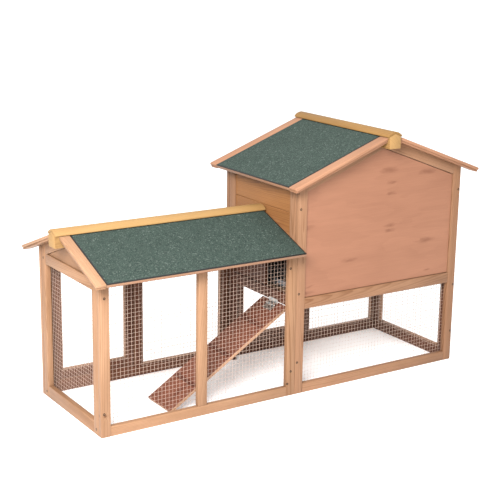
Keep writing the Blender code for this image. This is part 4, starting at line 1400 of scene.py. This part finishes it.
mid_stile = STILE / 2
near, far = BACK_Y[0], FRONT_Y[1]
run_right = span("run_back_right_stile", "x")
posts = {
    "run_back": (near, "-y", [
        (RUN_X + mid_stile, 0.431), (RUN_X + 0.010, 0.075), (run_right[0] + 0.006, 0.431),
        (run_right[1] - mid_stile, 0.083), (run_right[0] + 0.004, 0.042),
    ]),
    "house_back": (near, "-y", [
        (HOUSE_X + 0.008, 0.619), (HOUSE_X + 0.008, 0.341), (HOUSE_X + 0.008, 0.109),
        (END_X - 0.007, 0.618), (END_X - 0.006, 0.278), (END_X - 0.006, 0.107),
    ]),
    "run_front": (far, "y", [
        (front_left + mid_stile, 0.020), (front_left + mid_stile, 0.470),
        (front_right - mid_stile, 0.020), (front_right - mid_stile, 0.470),
    ]),
    "house_front": (far, "y", [
        (x, z) for x in (HOUSE_X + mid_stile, END_X - mid_stile)
        for z in (0.020, sum(middle_z) / 2, sum(head_z) / 2)
    ]),
}
for name, (y, outwards, places) in posts.items():
    screws(f"{name}_screws", [(x, y, z) for x, z in places], outwards)
ends = {
    "run_end": (RUN_X, "-x", gable_foot - 0.017),
    "house_right": (END_X, "x", sum(middle_z) / 2),
}
for name, (x, outwards, height) in ends.items():
    places = [(x, side * (INNER_Y[1] - mid_stile), z) for side in (-1, 1) for z in (0.018, height)]
    screws(f"{name}_screws", places, outwards)
print("screws in", len(posts) + len(ends), "walls")

# %% [markdown]
# ## Hinges
#
# A butt hinge is two leaves whose rolled edges share a pin. Five knuckles alternate: three
# belong to the fixed leaf and two to the moving one. Shapes are built once in a flat frame, with
# the leaf along the first axis, the pin along the second and the face's normal along the third,
# and then turned into place.

# %% A hinge in its own frame
KNUCKLE = 0.003
KNUCKLES = 5
MOVING, FIXED = (1, 3), (0, 2, 4)
LEAF = 0.022
LEAF_START = 0.0012
LEAF_CORNER = 0.002
WEB = 0.0022
WEB_TOP = -0.0005
SCREW_LINE = 0.62 * LEAF
METAL_EASE = 0.0003
FOLD_EASE = 0.0002
PLATE = 0.0012
OFF_FACE = 0.004
PIN_RADIUS = 0.55 * KNUCKLE
PIN_END = 0.0008
CIRCLE = 16
LEVEL_AXES = [(1, 0, 0), (0, 1, 0), (0, 0, 1)]


def turned(shapes, axes, origin):
    """Moves shapes from their own frame: point = origin + a * first + b * second + c * third."""
    for shape in shapes:
        shape["points"] = shape["points"] @ np.asarray(axes, float) + np.asarray(origin, float)
        if np.linalg.det(axes) < 0:
            shape["faces"] = [face[:, ::-1] for face in shape["faces"]]
    return shapes


def rod(radius, low, high):
    """A round bar along the second axis, with eased ends."""
    rings, _ = ease_rings(low, high, METAL_EASE, 1)
    angle = np.linspace(0, 2 * math.pi, CIRCLE, endpoint=False)
    levels = np.zeros((len(rings), CIRCLE, 3))
    for level, (shrink, height) in zip(levels, rings):
        level[:, 0], level[:, 2] = np.cos(angle), np.sin(angle)
        level *= radius - shrink
        level[:, 1] = height
    shape = closed_tube(levels)
    shape["faces"] = [face[:, ::-1] for face in shape["faces"]]
    return shape


def knuckle_spans(length, numbers):
    """Where some of a hinge's knuckles lie along its pin."""
    part = length / KNUCKLES
    lows = [-length / 2 + number * part + GAP / 2 for number in numbers]
    return [(low, low + part - GAP) for low in lows]


def barrel(length, numbers):
    """A leaf's knuckles. The pin goes through all five and belongs to the fixed leaf."""
    shapes = [rod(KNUCKLE, *part) for part in knuckle_spans(length, numbers)]
    if numbers == FIXED:
        shapes.append(rod(PIN_RADIUS, -length / 2 - PIN_END, length / 2 + PIN_END))
    return shapes


def flat_leaf(length, side, numbers):
    """One leaf, its knuckles and its screws. Side is 1 or -1 along the first axis."""
    under = -OFF_FACE + GAP
    outer, web = sorted((side * LEAF_START, side * LEAF)), sorted((0, side * WEB))
    face = rectangle(outer, (-length / 2, length / 2))
    shapes = [solid(face, "z", under, under + PLATE, METAL_EASE, 1, LEAF_CORNER)]
    shapes += barrel(length, numbers)
    for part in knuckle_spans(length, numbers):
        shapes.append(solid(rectangle(web, part), "z", under, WEB_TOP, FOLD_EASE, 1))
    for share in (-0.36, 0.0, 0.36):
        shapes.append(screw((side * SCREW_LINE, share * length, under + PLATE), "z"))
    return shapes


def fixed_piece(name, shapes):
    """A part of the metalwork that has no solid of its own and stays with the hutch."""
    add_piece(name, shapes, plated, "hutch", ())


DOOR_AXES = [(1, 0, 0), (0, 0, 1), (0, 1, 0)]
joint_place = {joint["name"]: joint.get("pos_m") for joint in frame["joints"]}
for door, side in (("run_door", 1), ("house_door", -1)):
    for level in ("upper", "lower"):
        node = f"{door}_hinge_{level}"
        pin = (*joint_place[f"{door}_swing"][:2], sum(span(node, "z")) / 2)
        length = np.ptp(span(node, "z"))
        leaf = turned(flat_leaf(length, side, MOVING), DOOR_AXES, pin)
        stand_for(node, "leaf", leaf, plated)
        fixed_leaf = turned(flat_leaf(length, -side, FIXED), DOOR_AXES, pin)
        fixed_piece(f"{node}_fixed_leaf", fixed_leaf)
print("four door hinges")

# %% [markdown]
# The roof's hinges lie flat on the felt beside the ridge, and their fixed leaves go down behind
# the cover strip, between the beam and the lid's edge. The ramp's fixed leaf is a bracket: out from
# the wall's rail, then down to the pin.

# %% Roof and ramp hinges
LID_BEND = [(-0.0022, -0.001), (-0.0062, -0.0035), (-0.0078, -0.009), (-0.0078, -0.024)]
BRACKET_HEIGHTS = (0.0024, 0.0024, 0.0045, 0.018)
BRACKET_SCREW = 0.012
WALL_GAP = 0.0002


def folded_strip(path, width, thickness=PLATE):
    """A strip bent along a path in the first and third axes: the path, and the path moved
    sideways by the thickness, make one outline, carried across the width."""
    path = np.asarray(path, float)
    step = np.gradient(path, axis=0)
    step /= np.linalg.norm(step, axis=1)[:, None]
    other = path + thickness * np.stack([-step[:, 1], step[:, 0]], 1)
    outline = np.concatenate([path, other[::-1]])
    return solid(outline, "y", -width / 2, width / 2, FOLD_EASE, 1, FOLD_EASE)


def bent_leaf(length, path):
    """A fixed leaf that is a folded strip."""
    return barrel(length, FIXED) + [folded_strip(path, length)]


pitch = house_roof.pitch
lid_pin = joint_place["roof_lid_lift"]
run, rise = math.cos(pitch), math.sin(pitch)
lid_axes = [(run, 0, -rise), (0, 1, 0), (rise, 0, run)]
for end in ("back", "front"):
    node = f"roof_lid_hinge_{end}"
    pin = (lid_pin[0], sum(span(node, "y")) / 2, lid_pin[2])
    length = np.ptp(span(node, "y"))
    stand_for(node, "leaf", turned(flat_leaf(length, 1, MOVING), lid_axes, pin), plated)
    fixed_piece(f"{node}_fixed_leaf", turned(bent_leaf(length, LID_BEND), LEVEL_AXES, pin))

ramp_pin = joint_place["ramp_lift"]
rail_face = HOUSE_X - WALL_GAP
to_wall = rail_face - ramp_pin[0]
length = np.ptp(span("ramp_hinge", "y"))
bracket = list(zip((0.0005, to_wall - 0.002, to_wall, to_wall), BRACKET_HEIGHTS))
shapes = turned(bent_leaf(length, bracket), LEVEL_AXES, ramp_pin)
for share in (-0.3, 0.3):
    spot = (rail_face - PLATE, ramp_pin[1] + share * length, ramp_pin[2] + BRACKET_SCREW)
    shapes.append(screw(spot, "-x"))
fixed_piece("ramp_hinge_bracket", shapes)
print("roof and ramp hinges")

# %% [markdown]
# ## The ramp
#
# The ramp is a red-brown board with three strips across it for the rabbit's feet. It is easiest
# to build lying flat in the hinge's frame, up the slope along the first axis, and then turn. The
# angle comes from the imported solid: it is the direction of its longest straight edge.

# %% The ramp and its moving leaf
CLEAT_EASE = 0.0012
CLEAT_SUNK = 0.0002
CLEAT_SHADE = 0.6
uphill = longest_edge(section("ramp", "y"))
uphill *= np.sign(uphill[0])
ramp_axes = [(uphill[0], 0, uphill[1]), (0, 1, 0), (-uphill[1], 0, uphill[0])]
own_points = (points_of("ramp") - np.asarray(ramp_pin)) @ np.asarray(ramp_axes).T
board_low, board_top = own_points[:, 2].min(), -OFF_FACE
ramp_half = np.ptp(span("ramp", "y")) / 2
ramp_start, ramp_end = own_points[:, 0].min(), own_points[:, 0].max()
cleat_points = own_points[own_points[:, 2] > board_top + 0.002]
cleat_half, cleat_top = abs(cleat_points[:, 1]).max(), cleat_points[:, 2].max()
cleat_edges = np.unique(cleat_points[:, 0].round(4)).reshape(-1, 2)
face = rectangle((ramp_start, ramp_end), (-ramp_half, ramp_half))
shapes = [sheet_of(face, "z", board_low, board_top, "x")]
for cleat in cleat_edges:
    face = rectangle(cleat, (-cleat_half, cleat_half))
    strip = solid(face, "z", board_top - CLEAT_SUNK, cleat_top, CLEAT_EASE)
    strip["edge"] = np.zeros(len(strip["points"]))
    # Painted shade: the strips are darkened to give the dark shadow lines they cast across the ramp.
    strip["inside"] = np.full(len(strip["points"]), CLEAT_SHADE)
    shapes.append(in_the_log(strip, "y", "z", near=0, far=0.1))
stand_for("ramp", "board", turned(shapes, ramp_axes, ramp_pin), ramp_ply)
leaf = turned(flat_leaf(length, -1, MOVING), ramp_axes, ramp_pin)
stand_for("ramp_hinge", "leaf", leaf, plated)
print(len(cleat_edges), "cleats on a ramp of", round(float(ramp_end - ramp_start), 3))

# %% [markdown]
# ## Turn buttons and the tray
#
# A turn button is a pressed plate with round ends and a finger bar, held by two screws. The tray
# is a folded pan: an outline with round corners carried up the outside, over a rolled rim and down
# the inside. Its front is a flat plate with a folded pull.

# %% Turn buttons
BUTTON_WIDTH = 0.014
BUTTON_PLATE = 0.003
BAR_WIDTH = 0.0034


def stadium(length, width):
    """Two half circles joined by straight sides."""
    turn = np.linspace(0, math.pi, CIRCLE // 2 + 1)
    half = (length - width) / 2
    top = np.stack([width / 2 * np.cos(turn), half + width / 2 * np.sin(turn)], 1)
    return np.concatenate([top, -top])


child_place = {joint["child"]: joint.get("pos_m") for joint in record["behaviour"]["joints"]}
for node in ("run_door_button", "house_door_button"):
    place = child_place[node]
    length, tip = np.ptp(span(node, "z")), span(node, "y")[1] - place[1]
    plate = solid(stadium(length, BUTTON_WIDTH), "y", 0.0, BUTTON_PLATE, 0.0006, 2, FOLD_EASE)
    bar_foot = BUTTON_PLATE - FOLD_EASE
    bar = solid(stadium(length / 2, BAR_WIDTH), "y", bar_foot, tip, 0.0009, 2, FOLD_EASE)
    shapes = turned([plate, bar], LEVEL_AXES, place)
    for side in (-1, 1):
        spot = (place[0], place[1] + BUTTON_PLATE, place[2] + side * length * 0.36)
        shapes.append(screw(spot, "y"))
    stand_for(node, "plate", shapes, plated)
print("two turn buttons")

# %% The tray
SHEET = 0.0007
PAN_HEIGHT = 0.026
RIM = 0.0011
PAN_CORNER = 0.006
FRONT_CORNER = 0.003
FRONT_SET_BACK = 0.005
PULL_WIDTH = 0.090
PULL_DROPS = (0.0, 0.0, -0.0016, -0.008)
tray_x, tray_y, tray_z = (span("tray", name) for name in "xyz")
front_face = FRONT_Y[1] - FRONT_SET_BACK
foot, top = tray_z[0], tray_z[0] + PAN_HEIGHT
pan_rings = [
    (0.0015, foot), (0.0004, foot + 0.0004), (0, foot + 0.0016), (0, top - RIM),
    (0.0004, top - RIM * 0.3), (RIM, top), (2 * RIM, top - RIM), (0.0009, top - 2.5 * RIM),
    (0.0009, foot + 0.003), (0.003, foot + SHEET),
]
pan = rectangle(tray_x, (tray_y[0], front_face - SHEET))
plate = rectangle(tray_x, tray_z)
reach = tray_y[1] - front_face
pull = folded_strip(
    list(zip((0, reach - 0.004, reach - 0.0012, reach - 0.0012), PULL_DROPS)), PULL_WIDTH
)
pull_place = (RIDGE_X, front_face - SHEET / 2, sum(tray_z) / 2)
shapes = [
    loft(pan, "z", pan_rings, np.zeros(len(pan_rings)), PAN_CORNER),
    solid(plate, "y", front_face - 2 * SHEET, front_face, METAL_EASE, 1, FRONT_CORNER),
]
shapes += turned([pull], [(0, 1, 0), (1, 0, 0), (0, 0, 1)], pull_place)
# Painted shade: the tray takes the darkened zinc.
stand_for("tray", "pan", shapes, shaded_sheet_zinc)
print("tray", np.round(np.ptp(tray_x), 3), "by", np.round(np.ptp(tray_y), 3))

# %% [markdown]
# ## The floor
#
# The studio floor is a wide pale sweep with a faint sheen, so that the hutch has a soft contact
# shadow. It isn't part of the object.

# %% A pale floor
FLOOR = 40.0
FLOOR_GLOW = 0.25
floor_mesh = bpy.data.meshes.new("floor")
floor_corners = [(x, y, 0) for x, y in rectangle((-FLOOR, FLOOR), (-FLOOR, FLOOR))]
floor_mesh.from_pydata(floor_corners, [], [(0, 1, 2, 3)])
floor = bpy.data.objects.new("floor", floor_mesh)
bpy.context.scene.collection.objects.link(floor)
look, tree, shader = new_look("pale sweep")
haze = noise(Value(tree, put(tree, "TexCoord").outputs["Object"]), 0.8)
send(tint(haze, (0.93, 0.93, 0.94, 1), (0.95, 0.95, 0.955, 1)), shader.inputs["Base Color"])
shader.inputs["Roughness"].default_value = 0.35
shader.inputs["Emission Color"].default_value = (1, 1, 1, 1)
shader.inputs["Emission Strength"].default_value = FLOOR_GLOW
floor_mesh.materials.append(look)
print("floor", 2 * FLOOR, "m wide")

# %% [markdown]
# ## Check
#
# Every node should now be hidden behind a piece. Any node still showing is printed, with the count
# of pieces and their faces.

# %% Nodes still showing and the last line
left = [name for name, node in frame["nodes"].items() if not node.hide_render]
print("nodes still showing:", left)
print(len(made), "pieces,", sum(made.values()), "faces")
